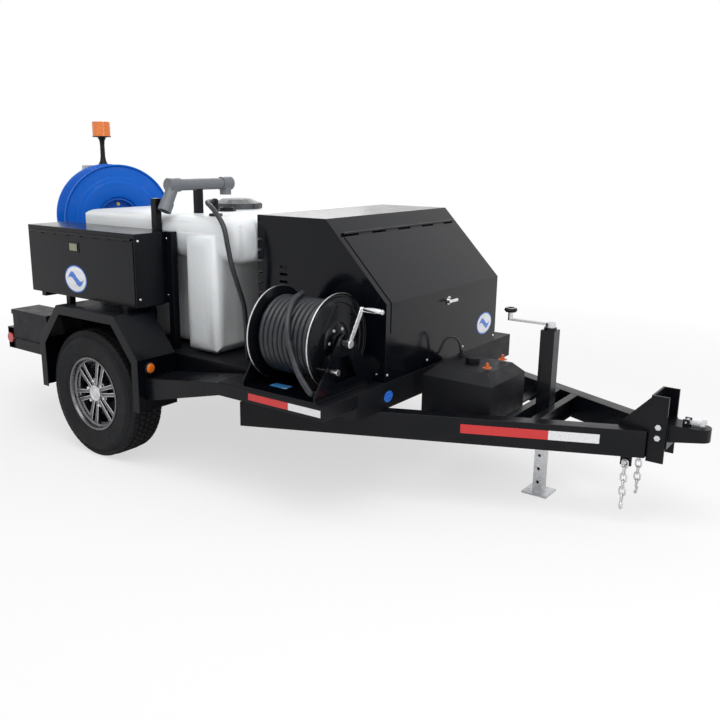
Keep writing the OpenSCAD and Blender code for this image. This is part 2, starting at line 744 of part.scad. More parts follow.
module toolbox_brackets() color("black") in_place() {
    for (x = [box_x0 + 90, box_x1 - 120]) {
        block([x, x + 40], [box_face_y, box_y1], [fender_top_z, box_z0]);
        block([x, x + 40], [-rail_out, -rail_out + 40], [deck_z, fender_top_z]);
    }
    block([box_x1, box_x1 + post_w], [post_ys[0] - post_w / 2, post_ys[0] + post_w / 2], [deck_z, box_z1]);
}

// ---------- water tank ----------
module tank_form(w) {
    rounded([tank_x0 + w, tank_core_x1 - w], [w - tank_core_half, tank_core_half - w],
        [deck_z + w, tank_z1 - 100], tank_round - w);
    rounded([tank_leg_x0 + w, tank_leg_x1 - w], [w - tank_leg_half, tank_leg_half - w],
        [deck_z + w, tank_leg_z1 - w], tank_round - w);
    rounded([tank_x0 + w, tank_x1 - w], [w - tank_half, tank_half - w],
        [tank_fore_z + w, tank_z1 - w], tank_round - w);
}
module water_tank() color("white") in_place() difference() {
    tank_form(0);
    tank_form(tank_wall);
    rod_z(lid_x, 0, [tank_z1 - 30, tank_z1 + eps], neck_r - neck_t);
    rod_z(funnel_x, funnel_y, [tank_z1 - 30, tank_z1 + eps], funnel_r - 8);
}
module tank_neck() color("dimgray") in_place() {
    difference() {
        rod_z(lid_x, 0, [tank_z1, tank_z1 + neck_h], neck_r);
        rod_z(lid_x, 0, [tank_z1 - eps, tank_z1 + neck_h + eps], neck_r - neck_t);
    }
    difference() {
        union() {
            rod_z(funnel_x, funnel_y, [tank_z1, tank_z1 + funnel_h], funnel_r);
            rod_z(funnel_x, funnel_y, [tank_z1, tank_z1 + 8], funnel_r + 14, $fn = 8);
        }
        rod_z(funnel_x, funnel_y, [tank_z1 - eps, tank_z1 + funnel_h + eps], funnel_r - 10);
    }
}
module tank_lid() color("gray") in_place() {
    difference() {
        rod_z(lid_x, 0, [tank_z1 + gap, tank_z1 + neck_h + 10], lid_r);
        rod_z(lid_x, 0, [tank_z1, tank_z1 + neck_h + gap], neck_r + 2);
    }
    translate([lid_x, 0, tank_z1 + neck_h + 10]) cylinder(h = lid_h - 10, r1 = lid_r - 12, r2 = lid_r - 60);
    for (i = [0 : 5]) translate([lid_x, 0, tank_z1 + gap]) rotate([0, 0, i * 60])
        translate([lid_r - 4, -12, 0]) cube([14, 24, 26]);
}

// ---------- fill pipe ----------
module near_leg() translate([funnel_x, pipe_y0, pipe_z]) rotate([180 - pipe_near_tilt, 0, 0]) children();
module fill_pipe() color("gray") in_place() difference() {
    union() {
        rod_y(funnel_x, [pipe_y0, pipe_y1], pipe_z, pipe_r);
        rod_y(funnel_x, [pipe_y0 - collar_r - 2, pipe_y0 + collar_r], pipe_z, collar_r);
        rod_y(funnel_x, [pipe_y1 - collar_r, pipe_y1 + collar_r + 2], pipe_z, collar_r);
        rod_z(funnel_x, pipe_y1, [pipe_z - pipe_drop, pipe_z], pipe_r + 1);
        near_leg() cylinder(h = pipe_near_len, r = pipe_r + 1);
        near_leg() translate([0, 0, pipe_near_len - 46]) cylinder(h = 52, r = collar_r);
    }
    // sockets at the two open ends
    near_leg() translate([0, 0, pipe_near_len + 6 - socket_l])
        cylinder(h = socket_l + eps, r = pipe_r - pipe_wall);
    rod_z(funnel_x, pipe_y1, [pipe_z - pipe_drop - eps, pipe_z - pipe_drop + 20], pipe_r - pipe_wall);
}
module fill_pipe_posts() color("black") in_place() {
    half = post_w / 2;
    difference() {
        block([funnel_x - half, funnel_x + half], [post_ys[1] - half, post_ys[1] + half], [tank_z1, pipe_z]);
        rod_y(funnel_x, [pipe_y0, pipe_y1], pipe_z, pipe_r);
    }
    // the near post stands beside the pipe's collar
    block([funnel_x - collar_r - post_w, funnel_x - collar_r], [post_ys[0] - half, post_ys[0] + half],
        [box_z1, pipe_z - 70]);
}

// ---------- vent ----------
module vent_fitting() color("dimgray") in_place() {
    rod_z(vent_x, vent_y, [tank_z1, tank_z1 + 14], 38, $fn = 6);
    rod_z(vent_x, vent_y, [tank_z1 + 14, tank_z1 + 78], 16);
    rod_y(vent_x, [vent_y - 14, vent_y], tank_z1 + 78, 16);
    translate([vent_x, vent_y, tank_z1 + 78]) sphere(r = 16);
}
module vent_hose() color("black") in_place() hose(smooth(vent_route, 2), vent_r, [1, 0.4, 0.1]);

// ---------- hood ----------
function hood_path(d) = [[hood_x0 + d, deck_z - (d > 0 ? eps : 0)], [hood_x1 - d, deck_z - (d > 0 ? eps : 0)],
    [hood_x1 - d, hood_knee_z - 0.4 * d], [hood_knee_x - 0.4 * d, hood_z1 - d], [hood_x0 + d, hood_z1 - d]];
function on_slope(s, out) = [hood_knee_x, hood_z1] + slope_dir * s + slope_out * out;
module hood_shell() color("black") in_place() {
    difference() {
        plate_xz(hood_path(0), [-hood_half, hood_half]);
        plate_xz(hood_path(sheet_t), [sheet_t - hood_half, hood_half - sheet_t]);
        // the doorway, inside the door's lap
        plate_xz([on_slope(door_start + door_lap, 20), on_slope(door_start + door_lap, -60),
            [hood_knee_x + 80, door_low_z + door_lap], [hood_x1 + 20, door_low_z + door_lap],
            [hood_x1 + 20, hood_z1]], [door_lap - door_half, door_half - door_lap]);
        // louvres down each rear corner and slots in each side
        for (i = [0 : 9]) block([hood_x0 - eps, hood_x0 + 34], [-hood_half - eps, hood_half + eps],
            [deck_z + 120 + i * 56, deck_z + 134 + i * 56]);
        for (i = [0 : 3]) block([hood_x0 + 150, hood_x0 + 200], [-hood_half - eps, hood_half + eps],
            [deck_z + 380 + i * 38, deck_z + 392 + i * 38]);
    }
    difference() {
        hood_knuckles(0);
        translate([hhinge[0], -hood_half, hhinge[1]]) rotate([-90, 0, 0])
            cylinder(h = 2 * hood_half, r = hpin_r + run_gap);
    }
}
module hood_knuckles(first) for (i = [first : 2 : 8]) {
    step = 2 * door_half / 9;
    y = [-door_half + i * step + gap, -door_half + (i + 1) * step - gap];
    rod_y(hhinge[0], y, hhinge[1], hhinge_r);
    s = door_start - 2;
    plate_xz(first == 0
        ? [on_slope(s - 16, -1), on_slope(s - 3, -1), on_slope(s, hhinge_off), on_slope(s - 5, hhinge_off)]
        : [on_slope(s, hhinge_off + 1), on_slope(s + 4, hhinge_off - 4),
            on_slope(s + 18, gap), on_slope(s + 18, hdoor_t)], y);
}
module hood_door() color("black") in_place() {
    s = slope_len;
    edge = hood_x1 + gap;
    difference() {
        union() {
            plate_xz([on_slope(door_start + 12, gap), on_slope(s, gap), [edge, hood_knee_z],
                [edge, door_low_z],
                [edge + hdoor_t, door_low_z], [edge + hdoor_t, hood_knee_z + 1],
                on_slope(s, gap + hdoor_t), on_slope(door_start + 12, gap + hdoor_t)],
                [-door_half, door_half]);
            hood_knuckles(1);
        }
        translate([hhinge[0], -hood_half, hhinge[1]]) rotate([-90, 0, 0])
            cylinder(h = 2 * hood_half, r = hpin_r + run_gap);
        rod_x([hood_x1 - 10, hood_x1 + 10], 0, hlatch_z, 8 + run_gap);
    }
    rod_y(hhinge[0], [-door_half + 2, door_half - 2], hhinge[1], hpin_r);
}
module hood_latch() color("silver") in_place() {
    face = hood_x1 + gap + hdoor_t;
    rod_x([hood_x1 - 24, face + 26], 0, hlatch_z, 8);
    rod_x([face + gap, face + 5], 0, hlatch_z, 22);
    rod_y(face + 26, [-45, 45], hlatch_z, 9);
    block([hood_x1 - 24, hood_x1 - 20], [-8, 8], [hlatch_z - 8, hlatch_z + 30]);
}

// ---------- engine and pump ----------
module engine() color("dimgray") in_place() {
    block([crank_x - 170, crank_x + 130], [-190, 210], [deck_z, crank_z + 90]);
    for (y = [-80, 100], i = [0 : 5])
        block([crank_x - 110, crank_x + 90], [y - 60, y + 60],
            [crank_z + 90 + i * 26, crank_z + 104 + i * 26]);
    for (y = [-80, 100])
        rod_z(crank_x - 10, y, [crank_z + 90, crank_z + 260], 44);
    rod_y(crank_x, [210, 300], crank_z, 150);
    block([crank_x - 100, crank_x + 80], [-120, 140], [crank_z + 260, crank_z + 330]);
    // silencer across the rear of the block, on its exhaust stub
    rod_y(crank_x - 235, [-150, 190], crank_z + 150, 58);
    rod_x([crank_x - 182, crank_x - 96], -80, crank_z + 110, 16);
}
module pump_body() color("goldenrod") in_place() {
    block([pumpshaft_x - 80, pumpshaft_x + 90], [-190, 60], [deck_z, pumpshaft_z + 70]);
    block([pumpshaft_x - 60, pumpshaft_x + 70], [60, 170], [deck_z + 60, pumpshaft_z + 60]);
    for (i = [0 : 2]) rod_x([pumpshaft_x + 70, pumpshaft_x + 84], 80 + i * 36, pumpshaft_z, 14);
    rod_z(pumpshaft_x, 115, [pumpshaft_z + 60, pumpshaft_z + 110], 20);
}
// The belt's loop around the two pulleys, as one outline in the XZ plane
module belt_outline(grow) hull() {
    translate([crank_x, crank_z]) circle(r = epulley_r + grow, $fn = 32);
    translate([pumpshaft_x, pumpshaft_z]) circle(r = ppulley_r + grow, $fn = 32);
}
module drive_belt() color("black") in_place() translate([0, belt_y + belt_w / 2 - 4, 0])
    rotate([90, 0, 0]) linear_extrude(belt_w - 8) difference() {
        belt_outline(belt_t + 1);
        belt_outline(1);
    }
module pulley(x, z, r) {
    rod_y(x, [belt_y - belt_w / 2, belt_y + belt_w / 2], z, r);
    rod_y(x, [belt_y + belt_w / 2, -190 - gap], z, eshaft_r);
}
module engine_pulley() color("gray") in_place() pulley(crank_x, crank_z, epulley_r);
module pump_pulley() color("gray") in_place() pulley(pumpshaft_x, pumpshaft_z, ppulley_r);

// ---------- fuel tank ----------
module fuel_tank() color("black") in_place() {
    c = ftank_chamfer;
    difference() {
        hull() {
            block([ftank_x0, ftank_x1], [ftank_y0, ftank_y1], [ftank_z0, ftank_z1 - c]);
            block([ftank_x0 + c, ftank_x1 - c], [ftank_y0 + c, ftank_y1 - c], [ftank_z0, ftank_z1]);
        }
        block([ftank_x0 + 6, ftank_x1 - 6], [ftank_y0 + 6, ftank_y1 - 6], [ftank_z0 + 6, ftank_z1 - c - 6]);
    }
    rod_z(fcap_x, fcap_y, [ftank_z1, ftank_z1 + 14], fneck_r);
    rod_z(ftank_x0 + 70, -60, [ftank_z1 - 10, ftank_z1], 14);
}
module fuel_cap() color("black") in_place() difference() {
    rod_z(fcap_x, fcap_y, [ftank_z1 + gap, ftank_z1 + 30], fcap_r);
    rod_z(fcap_x, fcap_y, [ftank_z1, ftank_z1 + 14 + gap], fneck_r + 1);
}
module fuel_line() color("black") in_place() hose(smooth(fuel_route, 3), 6, [0.4, 1, 0.05], 8);

// ---------- jack ----------
module jack_tube() color("black") in_place() difference() {
    half = jack_w / 2;
    union() {
        block([jack_x - half, jack_x + half], [-half, half], [jack_bot, jack_top]);
        rod_z(jack_x, 0, [jack_top, jack_top + 12], 30);
    }
    block([jack_x - half + jack_wall, jack_x + half - jack_wall], [jack_wall - half, half - jack_wall],
        [jack_bot - eps, jack_top - 8]);
    rod_z(jack_x, 0, [jack_top - 10, jack_top + 20], 10 + run_gap);
}
module jack_leg() color("silver") in_place() {
    half = leg_w / 2;
    difference() {
        tube_z([jack_x - half, jack_x + half], [-half, half], [foot_t, leg_top], leg_wall);
        for (i = [0 : 6]) rod_y(jack_x, [-half - eps, half + eps], 60 + i * 71, 8);
    }
    block([jack_x - foot_w / 2, jack_x + foot_w / 2], [-foot_w / 2, foot_w / 2], [0, foot_t]);
}
module jack_crank() color("gray") in_place() {
    rod_z(jack_x, 0, [jack_top - 6, jack_top + 34], 10);
    rod_z(jack_x, 0, [jack_top + 12 + gap, jack_top + 34], 24);
    block([jack_x - arm_l, jack_x], [-11, 11], [jack_top + 20, jack_top + 30]);
    rod_z(jack_x - arm_l, 0, [jack_top + 20, jack_top + 64], 12);
    rod_z(jack_x - arm_l, 0, [jack_top + 64, jack_top + 84], 24);
}

// ---------- supply hose reel ----------
module supply_reel_stand() color("black") in_place() {
    half = sreel_r;
    y = sreel_y;
    block([stand_x0 - 10, stand_x1 + stand_t + 10], [y - half, y + half], [deck_z, deck_z + base_t]);
    for (x = [stand_x0, stand_x1]) difference() {
        plate_yz([[y - half, deck_z + base_t], [y + half, deck_z + base_t], [y + half, deck_z + 26],
            [y + 44, sreel_z + 36], [y - 44, sreel_z + 36], [y - half, deck_z + 26]], [x, x + stand_t]);
        rod_x([x - eps, x + stand_t + eps], y, sreel_z, sshaft_r + run_gap);
        plate_yz([[y - 90, deck_z + 60], [y + 90, deck_z + 60], [y + 32, sreel_z - 60],
            [y - 32, sreel_z - 60]], [x - eps, x + stand_t + eps]);
        rod_x([x - eps, x + stand_t + eps], y + lock_ring * cos(lock_angle),
            sreel_z + lock_ring * sin(lock_angle), lock_r + run_gap);
    }
}
module supply_reel() color("black") in_place() {
    difference() {
        union() {
            for (x = [[sreel_x0 - flange_t, sreel_x0], [sreel_x1, sreel_x1 + flange_t]])
                rod_x(x, sreel_y, sreel_z, sreel_r, $fn = 96);
            rod_x([sreel_x0, sreel_x1], sreel_y, sreel_z, sdrum_r);
        }
        rod_x([sreel_x0 + 6, sreel_x1 - 6], sreel_y, sreel_z, sdrum_r - 5);
        for (i = [0 : 7]) rod_x([sreel_x1 - eps, sreel_x1 + flange_t + eps],
            sreel_y + lock_ring * cos(lock_angle + i * 45),
                sreel_z + lock_ring * sin(lock_angle + i * 45), 7);
    }
    rod_x([stand_x0 - 12, sreel_x0], sreel_y, sreel_z, sshaft_r);
    rod_x([sreel_x1, crank_x0 + 20], sreel_y, sreel_z, sshaft_r);
    translate([crank_x0 + 4, sreel_y, sreel_z]) rotate([-atan2(crank_arm[0], crank_arm[1]), 0, 0])
        translate([0, -12, -20]) cube([12, 24, norm(crank_arm) + 34]);
    rod_x([crank_x0 + 4, crank_x0 + 16 + grip_l], sreel_y + crank_arm[0], sreel_z + crank_arm[1], 7);
    rod_x([crank_x0 + 20, crank_x0 + 16 + grip_l], sreel_y + crank_arm[0], sreel_z + crank_arm[1], grip_r);
}
module supply_hose_pack() color("dimgray") in_place() difference() {
    rod_x([sreel_x0, sreel_x1], sreel_y, sreel_z, spack_r, $fn = 64);
    rod_x([sreel_x0 - eps, sreel_x1 + eps], sreel_y, sreel_z, sdrum_r);
}
module supply_hose_tail() color("dimgray") in_place()
    hose(smooth(tail_route, 2), shose_d / 2, [1, -0.2, 0.3]);
module hose_end_fitting() color("goldenrod") in_place() {
    p = tail_route[len(tail_route) - 1];
    translate(p) rotate([-86, 0, 0]) {
        cylinder(h = 26, r = 16);
        translate([0, 0, 26]) cylinder(h = 26, r = 19, $fn = 6);
    }
}
module reel_lock_pin() color("silver") in_place() {
    y = sreel_y + lock_ring * cos(lock_angle);
    z = sreel_z + lock_ring * sin(lock_angle);
    rod_x([sreel_x1 + flange_t + 1, stand_x1 + stand_t + 40], y, z, lock_r);
    rod_x([stand_x1 + stand_t + lock_travel + 2, stand_x1 + stand_t + 34], y, z, 10);
    rod_x([stand_x1 + stand_t + 34, stand_x1 + stand_t + 46], y, z, 14);
}

// ---------- jetting hose reel ----------
module at_swivel() translate([jreel_x, jreel_y, 0]) rotate([0, 0, jreel_yaw]) children();
module turntable_base() color("black") in_place() at_swivel() {
    rod_z(0, 0, [deck_z, deck_z + 12], 200);
    rod_z(0, 0, [deck_z + 12, pedestal_z], pedestal_r);
}
module reel_swivel_frame() color("black") in_place() at_swivel() {
    low = pedestal_z + gap;
    rod_z(0, 0, [low, low + table_t], 190);
    block([-jframe_x - jframe_t, jframe_x + jframe_t], [-120, 120], [low, low + table_t]);
    for (s = [-1, 1]) difference() {
        x = s > 0 ? [jframe_x, jframe_x + jframe_t] : [-jframe_x - jframe_t, -jframe_x];
        union() {
            plate_yz([[-120, low + table_t], [120, low + table_t],
                [45, jreel_z + 50], [-45, jreel_z + 50]], x);
            if (s < 0)
                plate_yz([[-30, jreel_z], [30, jreel_z], [30, cbox_z[1] - 10], [-30, cbox_z[1] - 10]], x);
        }
        rod_x([x[0] - eps, x[1] + eps], 0, jreel_z, jshaft_r + run_gap);
    }
}
module dish(s) translate([s * jreel_w / 2, 0, jreel_z]) rotate([0, s * 90, 0]) rotate_extrude($fn = 96)
    polygon([[0, 0], [jreel_r, 0], [jreel_r, dish_t + 8], [jreel_r - 8, dish_t + 8], [jreel_r - 12, dish_t],
        [jreel_r - 90, dish_t], [jreel_r - 100, dish_t + 8],
            [jdrum_r + 30, dish_t + 8], [jdrum_r + 16, dish_t],
        [0, dish_t]]);
module jet_reel() color("royalblue") in_place() at_swivel() {
    difference() {
        union() {
            dish(-1);
            dish(1);
            rod_x([-jreel_w / 2, jreel_w / 2], 0, jreel_z, jdrum_r);
        }
        rod_x([6 - jreel_w / 2, jreel_w / 2 - 6], 0, jreel_z, jdrum_r - 6);
    }
    for (x = [[-jframe_x - jframe_t - 6, -jreel_w / 2 - dish_t],
        [jreel_w / 2 + dish_t, jframe_x + jframe_t + 18]])
        rod_x(x, 0, jreel_z, jshaft_r);
}
module jet_hose_pack() color("steelblue") in_place() at_swivel() difference() {
    rod_x([-jreel_w / 2, jreel_w / 2], 0, jreel_z, jpack_r, $fn = 64);
    rod_x([-jreel_w / 2 - eps, jreel_w / 2 + eps], 0, jreel_z, jdrum_r);
}
module control_box() color("gray") in_place() at_swivel() {
    back = -jframe_x - jframe_t;
    difference() {
        block([back - cbox_d, back], cbox_y, cbox_z);
        block([back - cbox_d + 3, back - 3], [cbox_y[0] + 3, cbox_y[1] - 3], [cbox_z[0] + 3, cbox_z[1] - 3]);
    }
}
module beacon() color("orange") in_place() at_swivel() {
    x = -jframe_x - jframe_t - cbox_d / 2;
    rod_z(x, 0, [cbox_z[1], cbox_z[1] + 12], 34);
    rod_z(x, 0, [cbox_z[1] + 12, beacon_z - 12], mast_r);
    rod_z(x, 0, [beacon_z - 12, beacon_z], 34);
    rod_z(x, 0, [beacon_z, beacon_z + 22], beacon_r);
    translate([x, 0, beacon_z + 22]) cylinder(h = beacon_h - 22, r1 = beacon_r - 3, r2 = beacon_r - 16);
}

// ---------- battery ----------
module battery_box() color("black") in_place() {
    block(batt_x, batt_y, [batt_z[0], batt_z[1] - 30]);
    block([batt_x[0] - 8, batt_x[1] + 8], [batt_y[0] - 8, -rail_out], [batt_z[0] - tray_t, batt_z[0]]);
}
module battery_lid() color("black") in_place()
    block([batt_x[0] - 6, batt_x[1] + 6], [batt_y[0] - 6, -rail_out - 1], [batt_z[1] - 30, batt_z[1]]);

main_rails();
cross_members();
deck_plate();
deck_side_rails();
tongue_rails();
tongue_cross_members();
rear_bumper();
hitch_bracket();
coupler_body();
coupler_bolts();
safety_chains();
axle_beam();
leaf_springs();
fenders();
marker_lamps();
tail_lamps();
toolbox_body();
toolbox_brackets();
water_tank();
tank_neck();
fill_pipe();
fill_pipe_posts();
vent_fitting();
vent_hose();
hood_shell();
engine();
pump_body();
drive_belt();
fuel_tank();
fuel_line();
jack_tube();
supply_reel_stand();
supply_hose_tail();
hose_end_fitting();
turntable_base();
battery_box();
battery_lid();
tyre_right();
rim_right();
tyre_left();
rim_left();
toolbox_door();
toolbox_latch();
tank_lid();
hood_door();
hood_latch();
supply_reel();
supply_hose_pack();
reel_lock_pin();
reel_swivel_frame();
jet_reel();
jet_hose_pack();
control_box();
beacon();
jack_leg();
jack_crank();
fuel_cap();
coupler_latch();
engine_pulley();
pump_pulley();
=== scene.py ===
"""Looks of a trailer pressure washer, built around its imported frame. All lengths are metres."""
import json
import math

import bmesh
import bpy
from bpy.props import FloatProperty, FloatVectorProperty, IntProperty, PointerProperty
from mathutils import Matrix, Vector

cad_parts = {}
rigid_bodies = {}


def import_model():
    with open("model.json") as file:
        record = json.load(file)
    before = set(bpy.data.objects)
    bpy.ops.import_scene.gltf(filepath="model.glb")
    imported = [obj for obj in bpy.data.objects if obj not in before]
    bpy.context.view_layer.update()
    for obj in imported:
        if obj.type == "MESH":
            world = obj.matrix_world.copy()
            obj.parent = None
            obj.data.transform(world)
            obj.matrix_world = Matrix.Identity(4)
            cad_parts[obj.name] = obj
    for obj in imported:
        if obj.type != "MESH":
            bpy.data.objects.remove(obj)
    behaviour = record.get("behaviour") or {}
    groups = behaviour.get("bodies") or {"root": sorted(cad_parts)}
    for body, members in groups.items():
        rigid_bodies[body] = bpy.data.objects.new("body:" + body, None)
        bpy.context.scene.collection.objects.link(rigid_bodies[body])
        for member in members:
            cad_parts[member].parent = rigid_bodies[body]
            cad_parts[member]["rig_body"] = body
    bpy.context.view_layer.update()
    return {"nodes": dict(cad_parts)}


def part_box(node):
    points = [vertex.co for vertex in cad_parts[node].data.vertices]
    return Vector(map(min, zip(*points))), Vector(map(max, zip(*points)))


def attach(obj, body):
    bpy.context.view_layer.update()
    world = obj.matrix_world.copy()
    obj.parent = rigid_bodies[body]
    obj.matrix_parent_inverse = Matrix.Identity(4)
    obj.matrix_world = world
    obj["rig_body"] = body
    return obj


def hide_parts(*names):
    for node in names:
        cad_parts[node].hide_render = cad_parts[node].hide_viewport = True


bl_info = {
    "name": "Trailer pressure washer",
    "version": (1, 0, 0),
    "blender": (4, 5, 0),
    "location": "View3D > Sidebar > Washer",
    "description": "Builds the paint, rubber, hoses, wheels and trim of a towed pressure washer",
    "category": "Object",
}

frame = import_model()
X_MID = 0.825                      # the axle stands this far behind the origin
TAU = 2 * math.pi
UP = (0, 0, 1)
AHEAD = (1, 0, 0)


def at(x, y, z):
    """A point given from the axle, in the row frame."""
    return Vector((x - X_MID, y, z))


def centre(node):
    low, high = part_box(node)
    return (low + high) / 2


# ---------------------------------------------------------------- settings
def colour(name, what, value):
    return FloatVectorProperty(name=name, description=what, subtype="COLOR", size=3, min=0, max=1,
                               default=value)


def distance(name, what, value):
    return FloatProperty(name=name, description=what, default=value, subtype="DISTANCE", unit="LENGTH")


def number(name, what, value, least, most):
    return IntProperty(name=name, description=what, default=value, min=least, max=most)


class WasherPaint(bpy.types.PropertyGroup):
    gloss_black: colour("Gloss black", "Hood, fenders and toolbox", (0.0020, 0.0025, 0.0045))
    frame_black: colour("Frame black", "Chassis and brackets", (0.0030, 0.0035, 0.0055))
    reel_blue: colour("Reel blue", "Jetting reel", (0.002, 0.115, 0.56))
    hose_blue: colour("Hose blue", "Jetting hose jacket", (0.03, 0.14, 0.42))
    tank_white: colour("Tank white", "Natural polyethylene", (0.72, 0.74, 0.76))
    pipe_grey: colour("Pipe grey", "Fill pipe and lid", (0.135, 0.145, 0.160))
    box_grey: colour("Box grey", "Control box", (0.42, 0.43, 0.44))
    amber: colour("Amber", "Beacon and marker lenses", (0.72, 0.17, 0.005))


class WasherWheels(bpy.types.PropertyGroup):
    tread_blocks: number("Tread blocks", "Blocks round one tread row", 64, 30, 90)
    groove: distance("Groove", "Depth of the tread grooves", 0.007)
    spoke_gap: distance("Spoke gap", "Slot between the two bars of a spoke", 0.016)
    spoke_width: distance("Spoke width", "Width of one bar of a spoke", 0.024)


class WasherHoses(bpy.types.PropertyGroup):
    supply_diameter: distance("Supply hose", "Outer diameter", 0.028)
    jetting_diameter: distance("Jetting hose", "Outer diameter", 0.022)
    supply_layers: number("Supply layers", "Layers wound on the fill reel", 3, 1, 3)
    jetting_layers: number("Jetting layers", "Layers wound on the jetting reel", 4, 1, 8)


class WasherTrim(bpy.types.PropertyGroup):
    screw: distance("Screw head", "Radius of a body screw's head", 0.007)
    tape_height: distance("Tape height", "Height of the reflective tape", 0.044)


class WasherStage(bpy.types.PropertyGroup):
    key: FloatProperty(name="Key light", description="Power of the overhead softbox", default=120,
                       unit="POWER")
    fill: FloatProperty(name="Fill light", description="Power of the side softboxes", default=45,
                        unit="POWER")
    sky: FloatProperty(name="Sky", description="Strength of the plain surroundings", default=0.62,
                       min=0, max=2)


# ---------------------------------------------------------------- shader maths
class Sock:
    """Wraps a socket so that shader maths reads as an expression."""

    def __init__(self, tree, socket):
        self.tree, self.socket = tree, socket

    def _math(self, operation, a, b):
        node = self.tree.nodes.new("ShaderNodeMath")
        node.operation = operation
        for slot, value in zip(node.inputs, (a, b)):
            put(self.tree, slot, value)
        return Sock(self.tree, node.outputs[0])

    def __add__(self, other):
        return self._math("ADD", self, other)

    __radd__ = __add__

    def __mul__(self, other):
        return self._math("MULTIPLY", self, other)

    __rmul__ = __mul__

    def __gt__(self, other):
        return self._math("GREATER_THAN", self, other)


def put(tree, slot, value):
    """Sets or links one input."""
    if isinstance(value, Sock):
        tree.links.new(value.socket, slot)
    elif isinstance(value, (tuple, list, Vector)) and slot.type == "RGBA" and len(value) == 3:
        slot.default_value = (*value, 1)
    else:
        slot.default_value = value


class Finish:
    """A material under construction: one Principled shader and helpers around it."""

    def __init__(self, name, base, roughness=0.5, metallic=0.0, **fixed):
        self.material = bpy.data.materials.new(name)
        self.material.use_nodes = True
        self.tree = self.material.node_tree
        self.shader = self.tree.nodes["Principled BSDF"]
        self.material.diffuse_color = (*base, 1)
        self.set("Base Color", base)
        self.set("Roughness", roughness)
        self.set("Metallic", metallic)
        for key, value in fixed.items():
            self.set(key.replace("_", " "), value)

    def set(self, socket, value):
        put(self.tree, self.shader.inputs[socket], value)

    def node(self, kind, settings=None, output=0, **values):
        node = self.tree.nodes.new("ShaderNode" + kind)
        for key, value in (settings or {}).items():
            if key == "stops":
                for i, (place, tint) in enumerate(value):
                    stop = node.color_ramp.elements[i] if i < 2 else node.color_ramp.elements.new(place)
                    stop.position, stop.color = place, (*tint, 1) if len(tint) == 3 else tint
            else:
                setattr(node, key, value)
        for key, value in values.items():
            names = [i for i in node.inputs if i.name == key.replace("_", " ") and i.enabled]
            put(self.tree, names[0] if names else node.inputs[int(key[1:])], value)
        return Sock(self.tree, node.outputs[output])

    def place(self, scale=(1, 1, 1), shift=(0, 0, 0), turn=(0, 0, 0)):
        spot = self.node("TexCoord", output=3)
        return self.node("Mapping", Vector=spot, Scale=scale, Location=shift, Rotation=turn)

    def noise(self, size, detail=4.0, rough=0.55, stretch=(1, 1, 1), shift=(0, 0, 0)):
        return self.node("TexNoise", Vector=self.place(stretch, shift), Scale=1 / size, Detail=detail,
                         Roughness=rough)

    def range(self, value, a, b, c, d):
        return self.node("MapRange", i0=value, i1=a, i2=b, i3=c, i4=d)

    def mix(self, mask, a, b):
        node = self.tree.nodes.new("ShaderNodeMix")
        node.data_type = "RGBA"
        put(self.tree, node.inputs["Factor"], mask)
        put(self.tree, [i for i in node.inputs if i.name == "A" and i.type == "RGBA"][0], a)
        put(self.tree, [i for i in node.inputs if i.name == "B" and i.type == "RGBA"][0], b)
        return Sock(self.tree, [o for o in node.outputs if o.type == "RGBA"][0])

    def bump(self, height, distance, strength=1.0):
        self.set("Normal", self.node("Bump", Height=height, Distance=distance, Strength=strength))

    def lift(self, share):
        """Mixes plain white into what the camera sees, so a pale floor keeps only the shadow."""
        white = self.node("Emission", Strength=1.0)
        rays = self.node("LightPath", output=0)
        clear = self.node("BsdfTransparent")
        cover = self.shader.inputs["Alpha"].links[0].from_socket
        shown = self.tree.nodes.new("ShaderNodeMixShader")
        glow = self.tree.nodes.new("ShaderNodeMixShader")
        self.tree.links.new(cover, glow.inputs[0])
        self.tree.links.new(clear.socket, glow.inputs[1])
        self.tree.links.new(white.socket, glow.inputs[2])
        self.tree.links.new((rays * share).socket, shown.inputs[0])
        self.tree.links.new(self.shader.outputs[0], shown.inputs[1])
        self.tree.links.new(glow.outputs[0], shown.inputs[2])
        self.tree.links.new(shown.outputs[0], self.tree.nodes["Material Output"].inputs[0])

    def axis(self, letter):
        """One coordinate of the piece's own space, in metres."""
        node = self.tree.nodes.new("ShaderNodeSeparateXYZ")
        put(self.tree, node.inputs[0], self.node("TexCoord", output=3))
        return Sock(self.tree, node.outputs["XYZ".index(letter)])

    def road_dust(self, base, amount=0.5, tint=(0.20, 0.17, 0.14)):
        """Dust that thickens towards the ground and settles in patches."""
        low = self.range(self.axis("Z"), 0.05, 0.9, 1.0, 0.12)
        patch = self.range(self.noise(0.16, 6), 0.42, 0.75, 0.0, 1.0)
        mask = low * patch * amount
        self.set("Base Color", self.mix(mask, base, tint))
        return mask


def plain_paint(name, base, roughness, coat, orange_peel, dust, grain=0.006):
    f = Finish(name, base, roughness, 0.0, Coat_Weight=coat, Coat_Roughness=0.05, IOR=1.5,
               Specular_IOR_Level=0.16)
    mask = f.road_dust(base, dust)
    smear = f.range(f.noise(0.09, 5), 0.35, 0.7, -0.04, 0.06)
    f.set("Roughness", mask * 0.45 + smear + roughness)
    f.bump(f.noise(grain, 2), orange_peel)
    return f.material


def plated(name, base, roughness, mottle=0.012):
    f = Finish(name, base, roughness, 1.0)
    spots = f.noise(mottle, 3)
    f.set("Base Color", f.mix(f.range(spots, 0.3, 0.7, 0, 1), tuple(c * 0.72 for c in base), base))
    f.set("Roughness", f.range(f.noise(0.03, 5), 0.3, 0.75, roughness - 0.08, roughness + 0.16))
    f.bump(f.noise(0.003, 2), 0.0003)
    return f.material


